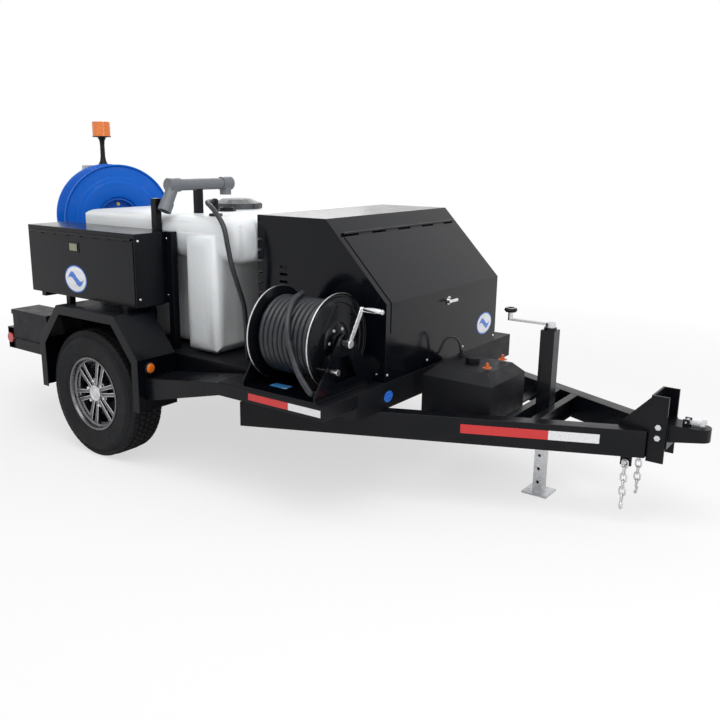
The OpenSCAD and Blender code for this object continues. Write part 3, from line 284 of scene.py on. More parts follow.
def rubber(name, base, roughness, dust=0.3, grain=0.0016):
    f = Finish(name, base, roughness, 0.0, Specular_IOR_Level=0.2)
    mask = f.road_dust(base, dust, (0.16, 0.145, 0.125))
    f.set("Roughness", mask * 0.2 + f.range(f.noise(0.05, 4), 0.3, 0.7, roughness - 0.06, roughness + 0.08))
    f.bump(f.noise(grain, 3), 0.0005)
    return f.material


def moulded(name, base, roughness, grain=0.0025, depth=0.0005, dust=0.25, **fixed):
    f = Finish(name, base, roughness, 0.0, **fixed)
    f.road_dust(base, dust)
    f.set("Roughness", f.range(f.noise(0.06, 5), 0.3, 0.75, roughness - 0.08, roughness + 0.12))
    f.bump(f.noise(grain, 2), depth)
    return f.material


def tank_plastic(name, base):
    """Cloudy polyethylene: faint vertical flow marks, water staining low down."""
    f = Finish(name, base, 0.42, 0.0, Subsurface_Weight=0.15, Subsurface_Scale=0.02)
    cloud = f.range(f.noise(0.22, 6, 0.6, (1, 1, 0.45)), 0.3, 0.75, 0, 1)
    stain = f.range(f.axis("Z"), 0.62, 1.2, 0.5, 0.0)
    worn = f.mix(cloud * 0.4, base, tuple(c * 0.88 for c in base))
    f.set("Base Color", f.mix(stain * cloud, worn, (0.55, 0.55, 0.52)))
    f.set("Roughness", f.range(cloud, 0, 1, 0.36, 0.52))
    f.bump(f.noise(0.018, 4) + f.noise(0.002, 2) * 0.25, 0.0012)
    return f.material


def machined_alloy(name, tone):
    """Turned alloy with fine rings about the axle."""
    f = Finish(name, (tone, tone, tone * 1.03), 0.24, 1.0)
    radial = f.node("TexWave", {"wave_type": "RINGS", "rings_direction": "Y"},
                    Vector=f.place((1, 1, 1), (-(0 - X_MID), 0, -0.359)), Scale=160.0, Distortion=0.0)
    f.set("Roughness", f.range(f.noise(0.04, 5), 0.3, 0.7, 0.16, 0.34))
    f.bump(radial, 0.00015)
    grime = f.range(f.noise(0.05, 6), 0.5, 0.8, 0, 0.55)
    f.set("Base Color", f.mix(grime, (tone, tone, tone * 1.04), (tone * 0.6, tone * 0.6, tone * 0.62)))
    return f.material


def lens(name, base, glow=0.06):
    f = Finish(name, base, 0.12, 0.0, Transmission_Weight=0.25, IOR=1.49, Coat_Weight=0.6)
    bands = {"wave_type": "BANDS", "bands_direction": "DIAGONAL"}
    ribs = f.node("TexWave", bands, Vector=f.place(), Scale=70.0)
    f.set("Base Color", f.mix(ribs * 0.35, base, tuple(min(1, c * 1.5 + 0.03) for c in base)))
    f.set("Emission Color", base)
    f.set("Emission Strength", glow)
    f.bump(ribs, 0.0006)
    return f.material


def reflective(name, red_until):
    """Red then silver tape along X, with a fine honeycomb of reflector cells."""
    f = Finish(name, (0.7, 0.7, 0.72), 0.3, 0.35, Coat_Weight=0.5)
    cells = f.node("TexVoronoi", {"feature": "DISTANCE_TO_EDGE"}, Vector=f.place(), Scale=190.0)
    edge = f.range(cells, 0.0, 0.12, 0.6, 1.0)
    silver = f.axis("X") > red_until
    base = f.mix(silver, (0.62, 0.012, 0.012), (0.80, 0.81, 0.83))
    f.set("Base Color", f.mix(edge, (0.12, 0.05, 0.05), base))
    f.bump(cells, 0.0004)
    return f.material


def hose_jacket(name, base, roughness=0.5):
    """Rubber hose skin with fine bumps and scuffs, in the piece's own space."""
    f = Finish(name, base, roughness, 0.0)
    scuff = f.range(f.noise(0.03, 6), 0.5, 0.75, 0, 0.5)
    f.set("Base Color", f.mix(scuff, base, tuple(min(1, c * 1.8 + 0.03) for c in base)))
    f.set("Roughness", scuff * 0.25 + roughness)
    f.bump(f.noise(0.0022, 3) + f.noise(0.012, 2) * 0.5, 0.0006)
    return f.material


def flat_label(name, base, mark, size):
    """A blank decal: a plain field with a soft generic wave across it."""
    f = Finish(name, base, 0.35, 0.0, Coat_Weight=0.4)
    bands = {"wave_type": "BANDS", "bands_direction": "Z"}
    wave = f.node("TexWave", bands, Vector=f.place(), Scale=size, Distortion=3.0, Detail=1.0)
    f.set("Base Color", f.mix(f.range(wave, 0.45, 0.55, 0, 1), base, mark))
    f.set("Roughness", f.range(f.noise(0.02, 4), 0.3, 0.7, 0.28, 0.42))
    return f.material


# ---------------------------------------------------------------- mesh helpers
def mesh_piece(name, bm, material, body, smooth=40, bevel=0.0, segments=2, turn=True):
    """Turns a bmesh into a finished piece that rides on a body."""
    bmesh.ops.remove_doubles(bm, verts=bm.verts, dist=1e-6)
    if turn:
        bmesh.ops.recalc_face_normals(bm, faces=bm.faces)
    mesh = bpy.data.meshes.new(name)
    bm.to_mesh(mesh)
    bm.free()
    piece = bpy.data.objects.new(name, mesh)
    bpy.context.scene.collection.objects.link(piece)
    mesh.materials.append(material)
    if bevel:
        edge = piece.modifiers.new("edges", "BEVEL")
        edge.width, edge.segments, edge.limit_method = bevel, segments, "ANGLE"
        edge.angle_limit = math.radians(32)
        edge.use_clamp_overlap = True
        edge.harden_normals = False
        bake_modifiers(piece)
    soften(piece, smooth)
    if bevel:
        even = piece.modifiers.new("even", "WEIGHTED_NORMAL")
        even.keep_sharp, even.mode, even.weight = True, "FACE_AREA", 50
        bake_modifiers(piece)
    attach(piece, body)
    return piece


def soften(piece, angle):
    """Smooth shading with sharp edges past an angle in degrees."""
    for face in piece.data.polygons:
        face.use_smooth = True
    piece.data.set_sharp_from_angle(angle=math.radians(angle))


def bake_modifiers(piece):
    """Replaces the piece's mesh by what its modifiers make."""
    graph = bpy.context.evaluated_depsgraph_get()
    made = bpy.data.meshes.new_from_object(piece.evaluated_get(graph), depsgraph=graph)
    old = piece.data
    piece.modifiers.clear()
    piece.data = made
    bpy.data.meshes.remove(old)


def lathe(bm, profile, origin, axis, steps=64):
    """Turns (radius, along) points round an axis; the ends are closed where they touch it."""
    axis = Vector(axis).normalized()
    side = axis.orthogonal().normalized()
    other = axis.cross(side)
    rings = []
    spread = [math.cos(TAU * k / steps) * side + math.sin(TAU * k / steps) * other for k in range(steps)]
    for radius, along in profile:
        middle = Vector(origin) + axis * along
        if radius < 1e-6:
            rings.append([bm.verts.new(middle)])
        else:
            rings.append([bm.verts.new(middle + radius * out) for out in spread])
    for a, b in zip(rings, rings[1:]):
        for k in range(steps):
            n = (k + 1) % steps
            if len(a) == 1 and len(b) == 1:
                continue
            if len(a) == 1:
                bm.faces.new((a[0], b[k], b[n]))
            elif len(b) == 1:
                bm.faces.new((a[k], a[n], b[0]))
            else:
                bm.faces.new((a[k], a[n], b[n], b[k]))


def prism(bm, outline, lift, matrix=Matrix()):
    """Extrudes a flat outline of 2-D points by lift along its own Z."""
    low = [bm.verts.new(matrix @ Vector((x, y, 0))) for x, y in outline]
    high = [bm.verts.new(matrix @ Vector((x, y, lift))) for x, y in outline]
    bm.faces.new(low[::-1])
    bm.faces.new(high)
    for i in range(len(outline)):
        j = (i + 1) % len(outline)
        bm.faces.new((low[i], low[j], high[j], high[i]))


def facing(origin, normal):
    """A frame whose Z runs along normal and whose Y leans up, or to the left on a level face."""
    z = Vector(normal).normalized()
    up = (0, 1, 0) if abs(z.z) > 0.9 else (0, 0, 1)
    x = Vector(up).cross(z).normalized()
    y = z.cross(x)
    m = Matrix((x, y, z)).transposed().to_4x4()
    m.translation = origin
    return m


def dress(node, material, bevel, smooth=32, segments=2):
    """A copy of a CAD node with its edges rounded, standing for the node."""
    source = frame["nodes"][node]
    bm = bmesh.new()
    bm.from_mesh(source.data)
    bmesh.ops.remove_doubles(bm, verts=bm.verts, dist=2e-6)
    bmesh.ops.dissolve_limit(bm, angle_limit=math.radians(0.6), verts=bm.verts, edges=bm.edges)
    piece = mesh_piece(node + "_dressed", bm, material, source["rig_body"], smooth, bevel, segments,
                       False)
    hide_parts(node)
    return piece


def oval(width, height, steps=48):
    angles = [TAU * k / steps for k in range(steps)]
    return [(width / 2 * math.cos(a), height / 2 * math.sin(a)) for a in angles]


def bar(length, width, steps=10):
    """A flat bar with round ends, from the origin along X."""
    ends = [(length, -math.pi / 2), (0, math.pi / 2)]
    arcs = [(x, turn + math.pi * k / steps) for x, turn in ends for k in range(steps + 1)]
    return [(x + width / 2 * math.cos(a), width / 2 * math.sin(a)) for x, a in arcs]


def swoosh(length, height, steps=24):
    """A plain wave that is thick in the middle and pointed at both ends."""
    def edge(t, sign):
        return (length * (t - 0.5), height * (0.30 * math.sin(TAU * t) + sign * 0.28 * math.sin(math.pi * t)))
    return [edge(k / steps, -1) for k in range(steps + 1)] + [edge(1 - k / steps, 1) for k in range(1, steps)]


def decal(name, place, normal, outline, finish, body, lift=0.0006):
    bm = bmesh.new()
    prism(bm, outline, lift, facing(place, normal))
    return mesh_piece(name, bm, PAINTS[finish], body)


def badge(name, place, normal, size, wave, body):
    """A blank oval badge in three thin layers: blue edge, white field, blue wave."""
    edge = 0.014
    field = (size[0] - edge, size[1] - edge)
    for part, outline, finish, lift in (("_edge", oval(*size), "decal_blue", 0.0004),
                                        ("_field", oval(*field), "decal_white", 0.0007),
                                        ("_wave", swoosh(*wave), "decal_blue", 0.0010)):
        decal(name + part, place, normal, outline, finish, body, lift)


def tube(radius, half, wall=0.006):
    """The profile of a plain tube centred on its axis."""
    inner = radius - wall
    return [(inner, -half), (radius, -half), (radius, half), (inner, half), (inner, -half)]


def turned(name, profile, origin, axis, finish, body, steps=64):
    """One lathe-turned piece."""
    bm = bmesh.new()
    lathe(bm, profile, origin, axis, steps)
    return mesh_piece(name, bm, PAINTS[finish], body, 28)


def screws(name, spots, body, finish="bright", size=None):
    """Round screw heads at the given spots."""
    size = size or bpy.context.scene.washer_trim.screw
    repeat(name, spots, round_screw(size, size * 0.45), PAINTS[finish], body)


def smooth_line(points, steps):
    """Catmull-Rom points through given ones."""
    out = []
    ends = [points[0], *points, points[-1]]
    for p0, p1, p2, p3 in zip(ends, ends[1:], ends[2:], ends[3:]):
        for k in range(steps):
            t = k / steps
            out.append(0.5 * (2 * p1 + (p2 - p0) * t + (2 * p0 - 5 * p1 + 4 * p2 - p3) * t * t
                              + (3 * p1 - p0 - 3 * p2 + p3) * t ** 3))
    return out + [points[-1]]


def line_length(points):
    return sum((b - a).length for a, b in zip(points, points[1:]))


def hose_piece(name, points, diameter, material, body, sides=3):
    """A round tube on an open curve."""
    curve = bpy.data.curves.new(name, "CURVE")
    curve.dimensions = "3D"
    curve.bevel_depth = diameter / 2
    curve.bevel_resolution = sides
    curve.use_fill_caps = True
    spline = curve.splines.new("POLY")
    spline.points.add(len(points) - 1)
    for dot, p in zip(spline.points, points):
        dot.co = (*p, 1)
    spline.use_smooth = True
    piece = bpy.data.objects.new(name, curve)
    bpy.context.scene.collection.objects.link(piece)
    curve.materials.append(material)
    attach(piece, body)
    return piece


# ---------------------------------------------------------------- repeats by Geometry Nodes
def scatter_tree():
    """Copies of one object on the points of a mesh, turned to each point's facing attribute."""
    tree = bpy.data.node_groups.new("copies_on_points", "GeometryNodeTree")
    face = tree.interface
    face.new_socket("Geometry", in_out="INPUT", socket_type="NodeSocketGeometry")
    face.new_socket("Copy", in_out="INPUT", socket_type="NodeSocketObject")
    face.new_socket("Size", in_out="INPUT", socket_type="NodeSocketFloat").default_value = 1
    face.new_socket("Finish", in_out="INPUT", socket_type="NodeSocketMaterial")
    face.new_socket("Geometry", in_out="OUTPUT", socket_type="NodeSocketGeometry")
    start, end = tree.nodes.new("NodeGroupInput"), tree.nodes.new("NodeGroupOutput")
    info = tree.nodes.new("GeometryNodeObjectInfo")
    facing_read = tree.nodes.new("GeometryNodeInputNamedAttribute")
    facing_read.data_type = "FLOAT_VECTOR"
    facing_read.inputs["Name"].default_value = "facing"
    turn = tree.nodes.new("FunctionNodeAlignRotationToVector")
    turn.axis = "Z"
    place = tree.nodes.new("GeometryNodeInstanceOnPoints")
    real = tree.nodes.new("GeometryNodeRealizeInstances")
    paint = tree.nodes.new("GeometryNodeSetMaterial")
    link = tree.links.new
    link(start.outputs["Copy"], info.inputs["Object"])
    link(start.outputs["Geometry"], place.inputs["Points"])
    link(info.outputs["Geometry"], place.inputs["Instance"])
    link(facing_read.outputs[0], turn.inputs["Vector"])
    link(turn.outputs[0], place.inputs["Rotation"])
    link(start.outputs["Size"], place.inputs["Scale"])
    link(place.outputs[0], real.inputs[0])
    link(real.outputs[0], paint.inputs["Geometry"])
    link(start.outputs["Finish"], paint.inputs["Material"])
    link(paint.outputs[0], end.inputs[0])
    return tree


def repeat(name, spots, shape, material, body, size=1.0, smooth=35):
    """Pieces like shape at each (point, facing) spot, as one plain mesh."""
    tree = bpy.data.node_groups.get("copies_on_points") or scatter_tree()
    mesh = bpy.data.meshes.new(name)
    mesh.from_pydata([tuple(p) for p, _ in spots], [], [])
    turn = mesh.attributes.new("facing", "FLOAT_VECTOR", "POINT")
    for i, (_, d) in enumerate(spots):
        turn.data[i].vector = Vector(d)
    piece = bpy.data.objects.new(name, mesh)
    bpy.context.scene.collection.objects.link(piece)
    copies = piece.modifiers.new("copies", "NODES")
    copies.node_group = tree
    for item, value in (("Copy", shape), ("Size", size), ("Finish", material)):
        key = next(s.identifier for s in tree.interface.items_tree if s.name == item and s.in_out == "INPUT")
        copies[key] = value
    bake_modifiers(piece)
    bpy.data.objects.remove(shape)
    soften(piece, smooth)
    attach(piece, body)
    return piece


def hidden_shape(name, bm):
    """A small mesh that one repeat copies and then removes."""
    bmesh.ops.recalc_face_normals(bm, faces=bm.faces)
    mesh = bpy.data.meshes.new(name)
    bm.to_mesh(mesh)
    bm.free()
    return bpy.data.objects.new(name, mesh)


def hex_bolt(radius, height):
    bm = bmesh.new()
    washer = radius * 1.28
    head = [(0, 0), (radius, 0), (radius, height * 0.85), (radius * 0.82, height), (0, height)]
    lathe(bm, [(0, 0), (washer, 0), (washer, height * 0.22), (0, height * 0.22)], (0, 0, 0), UP, 16)
    lathe(bm, head, (0, 0, 0), UP, 6)
    return hidden_shape("hex_bolt", bm)


def round_screw(radius, height):
    bm = bmesh.new()
    head = [(0, 0), (1, 0), (0.94, 0.5), (0.6, 0.92), (0.3, 1), (0.26, 0.6), (0, 0.6)]
    lathe(bm, [(radius * r, height * z) for r, z in head], (0, 0, 0), UP, 12)
    return hidden_shape("round_screw", bm)


# ---------------------------------------------------------------- finishes
PAINTS = {}


def make_finishes(paint):
    gloss, frame_paint = tuple(paint.gloss_black), tuple(paint.frame_black)
    PAINTS.update({
        "gloss": plain_paint("gloss_black_powder", gloss, 0.17, 0.08, 0.00008, 0.01, 0.004),
        "frame": plain_paint("frame_black_powder", frame_paint, 0.30, 0.04, 0.00015, 0.03, 0.004),
        "deck": plain_paint("deck_black_powder", frame_paint, 0.45, 0.0, 0.0005, 0.05, 0.005),
        "jack": plain_paint("jack_black_paint", frame_paint, 0.28, 0.2, 0.0002, 0.02, 0.004),
        "reel_black": plain_paint("reel_black_enamel", (0.003, 0.0035, 0.005), 0.24, 0.08, 0.0001, 0.02,
                                  0.004),
        "reel_blue": plain_paint("reel_blue_enamel", tuple(paint.reel_blue), 0.34, 0.15, 0.0001, 0.0, 0.004),
        "zinc": plated("zinc_plate", (0.72, 0.73, 0.75), 0.34),
        "bright": plated("bright_plate", (0.86, 0.86, 0.88), 0.14, 0.02),
        "steel": plated("spring_steel", (0.11, 0.11, 0.115), 0.5),
        "brass": plated("brass_fitting", (0.83, 0.55, 0.17), 0.26),
        "engine": moulded("engine_casting", (0.05, 0.05, 0.055), 0.45, 0.004, 0.0008),
        "tank": tank_plastic("tank_polyethylene", tuple(paint.tank_white)),
        "black_plastic": moulded("black_moulding", (0.006, 0.0065, 0.009), 0.44, 0.0022, 0.0003, 0.02,
                                 Specular_IOR_Level=0.2),
        "lid": moulded("lid_moulding", (0.05, 0.053, 0.060), 0.42, 0.003, 0.0004, 0.0),
        "pvc": moulded("pipe_pvc", tuple(paint.pipe_grey), 0.34, 0.02, 0.0002, 0.0),
        "box": moulded("box_grey_enamel", tuple(paint.box_grey), 0.40, 0.003, 0.0003, 0.05),
        "tyre": rubber("tyre_rubber", (0.007, 0.0075, 0.009), 0.66, 0.04),
        "seal": rubber("seal_rubber", (0.014, 0.014, 0.015), 0.7, 0.1),
        "hose": hose_jacket("supply_hose_rubber", (0.011, 0.013, 0.017), 0.42),
        "vent": hose_jacket("vent_hose_rubber", (0.006, 0.0065, 0.009), 0.36),
        "hose_blue": hose_jacket("jetting_hose_jacket", tuple(paint.hose_blue), 0.38),
        "alloy": machined_alloy("machined_alloy", 0.80),
        "alloy_grey": machined_alloy("grey_alloy", 0.17),
        "pocket": plain_paint("wheel_pocket_black", (0.008, 0.0085, 0.011), 0.38, 0.0, 0.0003, 0.03),
        "amber": lens("amber_lens", tuple(paint.amber), 0.12),
        "red": lens("red_lens", (0.55, 0.008, 0.006)),
        "tongue_tape": reflective("tongue_reflective_tape", at(2.31, 0, 0).x),
        "deck_tape": reflective("deck_reflective_tape", at(1.40, 0, 0).x),
        "decal_white": flat_label("decal_white_vinyl", (0.86, 0.87, 0.90), (0.80, 0.82, 0.86), 8.0),
        "decal_blue": flat_label("decal_blue_vinyl", (0.02, 0.12, 0.62), (0.03, 0.20, 0.72), 14.0),
        "label_blue": flat_label("label_light_blue", (0.05, 0.30, 0.72), (0.45, 0.70, 0.90), 26.0),
        "shield": plated("shield_plate", (0.30, 0.30, 0.22), 0.34, 0.01),
        "orange": moulded("orange_fitting", (0.50, 0.09, 0.01), 0.4),
    })


# ---------------------------------------------------------------- hoses
# drum radii, the jetting reel's width and its turn about the swivel, as in the frame
SUPPLY_DRUM = 0.100
JET_DRUM = 0.130
JET_WIDTH = 0.292
JET_TURN = math.radians(-25)
# hose routes in millimetres from the axle
VENT_ROUTE = [(480, -575, 1408), (480, -600, 1408), (512, -650, 1404), (600, -690, 1372), (690, -716, 1300),
              (730, -728, 1200), (752, -724, 1100), (768, -700, 1000), (780, -672, 900), (782, -660, 800),
              (782, -655, 700), (782, -655, 600)]
TAIL_ROUTE = [(1300, -826, 1033), (1318, -901, 1018.5), (1340, -965, 977), (1364, -1009, 914),
              (1388, -1028, 850), (1416, -1037, 796), (1448, -1047, 744), (1480, -1052, 700),
              (1504, -1048, 668), (1517, -1034, 640), (1520, -1008, 628), (1520, -984, 628)]
FUEL_ROUTE = [(1725, -60, 645), (1725, -62, 690), (1714, -70, 732), (1686, -88, 752), (1656, -106, 734),
              (1640, -118, 690), (1628, -124, 664), (1604.3, -124, 662)]


def reel_axis():
    return Vector((math.cos(JET_TURN), math.sin(JET_TURN), 0))


def route(points, steps=5):
    return smooth_line([at(x / 1000, y / 1000, z / 1000) for x, y, z in points], steps)


def winding(middle, axis, layers, first_radius, diameter, width, steps=40, climb=0.5):
    """A hose wound to and fro on a drum: it climbs to the next layer over half a turn at each flange."""
    axis = Vector(axis).normalized()
    side = axis.orthogonal().normalized()
    other = axis.cross(side)
    pitch = diameter * 1.02
    turns = int((width - diameter) / pitch)
    half = turns * pitch / 2
    out, angle = [], 0.0
    for layer in range(layers):
        radius = first_radius + layer * diameter
        sign = 1 if layer % 2 == 0 else -1
        for k in range(turns * steps + (1 if layer == layers - 1 else 0)):
            out.append((radius, -sign * half + sign * pitch * k / steps, angle))
            angle += TAU / steps
        if layer < layers - 1:
            for k in range(int(steps * climb)):
                rise = k / (steps * climb)
                out.append((radius + diameter * rise * rise * (3 - 2 * rise), sign * half, angle))
                angle += TAU / steps
    middle = Vector(middle)
    return [middle + axis * along + r * (math.cos(a) * side + math.sin(a) * other) for r, along, a in out]


class WASHER_OT_hoses(bpy.types.Operator):
    """Winds both hoses on their reels and hangs the free end of the supply hose"""
    bl_idname = "washer.hoses"
    bl_label = "Hoses"

    def execute(self, context):
        sizes = context.scene.washer_hoses
        low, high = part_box("supply_hose_pack")
        wound = winding((low + high) / 2, AHEAD, sizes.supply_layers, SUPPLY_DRUM + sizes.supply_diameter / 2,
                        sizes.supply_diameter, high.x - low.x)
        supply = hose_piece("supply_hose", wound, sizes.supply_diameter, PAINTS["hose"], "supply_drum")
        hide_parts("supply_hose_pack")
        line_length(wound)
        drum = centre("jet_hose_pack")
        axis = reel_axis()
        wound = winding(drum, axis, sizes.jetting_layers, JET_DRUM + sizes.jetting_diameter / 2,
                        sizes.jetting_diameter, JET_WIDTH, 36)
        jetting = hose_piece("jetting_hose", wound, sizes.jetting_diameter, PAINTS["hose_blue"], "jet_drum",
                             2)
        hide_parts("jet_hose_pack")
        line_length(wound)
        hang = route(TAIL_ROUTE)
        tail = hose_piece("supply_hose_end", hang, sizes.supply_diameter, PAINTS["hose"], "trailer",
                          5)
        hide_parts("supply_hose_tail")
        fitting = dress("hose_end_fitting", PAINTS["brass"], 0.001)
        line_length(hang)
        for name, path, diameter, sides, node in (("vent_hose_line", VENT_ROUTE, 0.026, 5, "vent_hose"),
                                                  ("fuel_hose_line", FUEL_ROUTE, 0.012, 4, "fuel_line")):
            line = hose_piece(name, route(path), diameter, PAINTS["vent"], "trailer", sides)
            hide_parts(node)
        return {"FINISHED"}


# ---------------------------------------------------------------- wheels
TREAD_RADIUS = 0.359
RIB = ((-0.0022, -0.009), (0.0022, -0.009), (0.0022, 0.009), (-0.0022, 0.009))


class WASHER_OT_wheels(bpy.types.Operator):
    """Turns both tyres with tread and both alloy rims with split spokes"""
    bl_idname = "washer.wheels"
    bl_label = "Wheels"

    def execute(self, context):
        sizes = context.scene.washer_wheels
        for side, name in ((-1, "right"), (1, "left")):
            self.tyre(sizes, side, name)
            self.rim(sizes, side, name)
        return {"FINISHED"}

    def tyre(self, sizes, side, name):
        """The carcass with its tread blocks and the ribs round its shoulder."""
        hub, body = centre("tyre_" + name), name + "_wheel"
        axle = Vector((0, side, 0))
        depth = sizes.groove
        outer = TREAD_RADIUS - depth
        half = [(0.2005, 0.0), (0.2005, 0.086), (0.203, 0.094), (0.212, 0.0985), (0.216, 0.101),
                (0.220, 0.1005), (0.235, 0.1050), (0.240, 0.1066), (0.243, 0.1062), (0.262, 0.1100),
                (0.282, 0.1118), (0.290, 0.1118), (0.292, 0.1124), (0.300, 0.1120), (0.302, 0.1106),
                (0.320, 0.1068), (0.335, 0.1010), (0.345, 0.0930), (outer, 0.0840), (outer, 0.0)]
        bm = bmesh.new()
        lathe(bm, [(r, -y) for r, y in half] + [(r, y) for r, y in reversed(half)], hub, axle, 120)
        tyre = mesh_piece("tyre_%s_rubber" % name, bm, PAINTS["tyre"], body, 28)
        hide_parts("tyre_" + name)
        count = sizes.tread_blocks
        width, sunk, shoulder = 0.030, 0.004, 0.327
        rows = ((-0.076, 0.0035), (-0.038, 0), (0, 0), (0.038, 0), (0.076, 0.0035))
        for row, (along, drop) in enumerate(rows):
            length = TAU * 0.355 / count * 0.84
            lean = 0.006 if row in (1, 3) else 0.0
            bm = bmesh.new()
            outline = [(-length / 2 - lean, -width / 2), (length / 2 - lean, -width / 2),
                       (length / 2 + lean, width / 2), (-length / 2 + lean, width / 2)]
            prism(bm, outline, depth + sunk, Matrix.Translation((0, 0, -sunk)))
            bmesh.ops.remove_doubles(bm, verts=bm.verts, dist=1e-6)
            rim_edges = [e for e in bm.edges if all(v.co.z > 0 for v in e.verts)]
            bmesh.ops.bevel(bm, geom=rim_edges, offset=0.0012, segments=1, affect="EDGES")
            spots = []
            for k in range(count):
                a = TAU * (k + 0.5 + 0.25 * row) / count
                out = Vector((math.sin(a), 0, math.cos(a)))
                spots.append((hub + axle * along + out * (outer - drop), out))
            block = hidden_shape("block", bm)
            repeat("tread_%s_%d" % (name, row), spots, block, PAINTS["tyre"], body)
        bm = bmesh.new()
        prism(bm, RIB, 0.0026)
        spots = []
        for k in range(count * 2):
            a = TAU * (k + 0.5) / (count * 2)
            out = Vector((math.sin(a), 0, math.cos(a)))
            spots.append((hub + axle * 0.1035 + out * shoulder, (out * 0.42 + axle).normalized()))
        repeat("shoulder_ribs_" + name, spots, hidden_shape("rib", bm), PAINTS["tyre"], body)

    def rim(self, sizes, side, name):
        """The dished rim with six split spokes, its hub, cap, nuts and valve."""
        hub, body = centre("tyre_" + name), name + "_wheel"
        axle = Vector((0, side, 0))
        lip = turned("rim_lip_" + name,
                     [(0.207, 0.093), (0.207, 0.1005), (0.203, 0.1025), (0.196, 0.1005), (0.192, 0.092),
                      (0.190, 0.078), (0.181, 0.071), (0.179, 0.062), (0.186, 0.060), (0.1995, 0.086),
                      (0.2065, 0.090), (0.207, 0.093)], hub, axle, "alloy_grey", body, 120)
        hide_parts("rim_" + name)
        bm = bmesh.new()
        lathe(bm, [(0.181, 0.0625), (0.172, 0.055), (0.170, 0.02), (0.172, -0.07), (0.190, -0.088),
                   (0.205, -0.094), (0.207, -0.100), (0.199, -0.0995), (0.1995, -0.085), (0.181, -0.06),
                   (0.180, 0.02), (0.1855, 0.059), (0.181, 0.0625)], hub, axle, 96)
        lathe(bm, [(0, -0.02), (0.150, -0.02), (0.152, 0.0), (0.150, 0.018), (0.12, 0.024), (0.085, 0.024),
                   (0.080, 0.05), (0.0, 0.05)], hub, axle, 64)
        mesh_piece("rim_barrel_" + name, bm, PAINTS["alloy_grey"], body, 30)
        spokes = bmesh.new()
        for k in range(6):
            turn = facing(hub, axle) @ Matrix.Rotation(TAU * (k + 0.25) / 6, 4, "Z")
            for hand in (-1, 1):
                root, tip = hand * 0.0155, hand * (sizes.spoke_gap / 2 + sizes.spoke_width * 0.75)
                near, far = 0.021 / 2, sizes.spoke_width * 1.12 / 2
                waist = (root + tip) / 2
                outline = [(0.040, root - near), (0.110, waist - near), (0.186, tip - far),
                           (0.186, tip + far), (0.110, waist + near), (0.040, root + near)]
                prism(spokes, outline, 0.026, turn @ Matrix.Translation((0, 0, 0.046)))
        star = mesh_piece("rim_spokes_" + name, spokes, PAINTS["alloy_grey"], body, 30, 0.003)
        star.data.materials.append(PAINTS["pocket"])
        star.data.materials.append(PAINTS["alloy"])
        for face in star.data.polygons:
            front = face.normal.dot(axle)
            face.material_index = 1 if front < 0.2 else 2 if front < 0.97 else 0
        turned("rim_hub_" + name, [(0, 0.05), (0.084, 0.05), (0.084, 0.061), (0.080, 0.064), (0.062, 0.064),
                                   (0.060, 0.067), (0, 0.067)], hub, axle, "pocket", body, 72)
        turned("wheel_cap_" + name, [(0.0, 0.0845), (0.026, 0.0845), (0.030, 0.083), (0.033, 0.0865),
                                     (0.041, 0.0868), (0.045, 0.084), (0.046, 0.079), (0.046, 0.066),
                                     (0.052, 0.064), (0.0, 0.064)], hub, axle, "zinc", body, 72)
        nuts = []
        for k in range(6):
            a = TAU * (k + 0.75) / 6
            out = facing(hub, axle) @ Vector((math.cos(a), math.sin(a), 0)) - hub
            nuts.append((hub + axle * 0.0635 + out * 0.070, axle))
        repeat("wheel_nuts_" + name, nuts, hex_bolt(0.0095, 0.017), PAINTS["bright"], body)
        turn = facing(hub, axle) @ Matrix.Rotation(TAU * 0.55, 4, "Z")
        start = turn @ Vector((0.176, 0, 0.058))
        bm = bmesh.new()
        lathe(bm, [(0, 0), (0.0065, 0), (0.0060, 0.012), (0.0035, 0.014), (0.0035, 0.024), (0.0045, 0.0245),
                   (0.0045, 0.033), (0, 0.034)], start, turn.to_3x3() @ Vector((-0.5, 0, 0.86)), 16)
        mesh_piece("valve_stem_" + name, bm, PAINTS["seal"], body)


# ---------------------------------------------------------------- chassis
CHASSIS = (("main_rails", "frame", 0.003), ("cross_members", "frame", 0.002), ("deck_plate", "deck", 0.0015),
           ("deck_side_rails", "frame", 0.002), ("tongue_rails", "frame", 0.003),
           ("tongue_cross_members", "frame", 0.002), ("rear_bumper", "frame", 0.003),
           ("hitch_bracket", "frame", 0.0018), ("coupler_body", "frame", 0.003),
           ("coupler_bolts", "zinc", 0.001), ("safety_chains", "zinc", 0.0), ("axle_beam", "frame", 0.002),
           ("leaf_springs", "steel", 0.001), ("coupler_latch", "zinc", 0.0012))
POWER = (("hood_shell", "gloss", 0.002), ("hood_door", "gloss", 0.0015), ("hood_latch", "bright", 0.001),
         ("engine", "engine", 0.002), ("pump_body", "engine", 0.002), ("drive_belt", "seal", 0.0),
         ("engine_pulley", "steel", 0.001), ("pump_pulley", "steel", 0.001),
         ("fuel_tank", "black_plastic", 0.018), ("fuel_cap", "black_plastic", 0.002),
         ("battery_box", "black_plastic", 0.003), ("battery_lid", "black_plastic", 0.003))


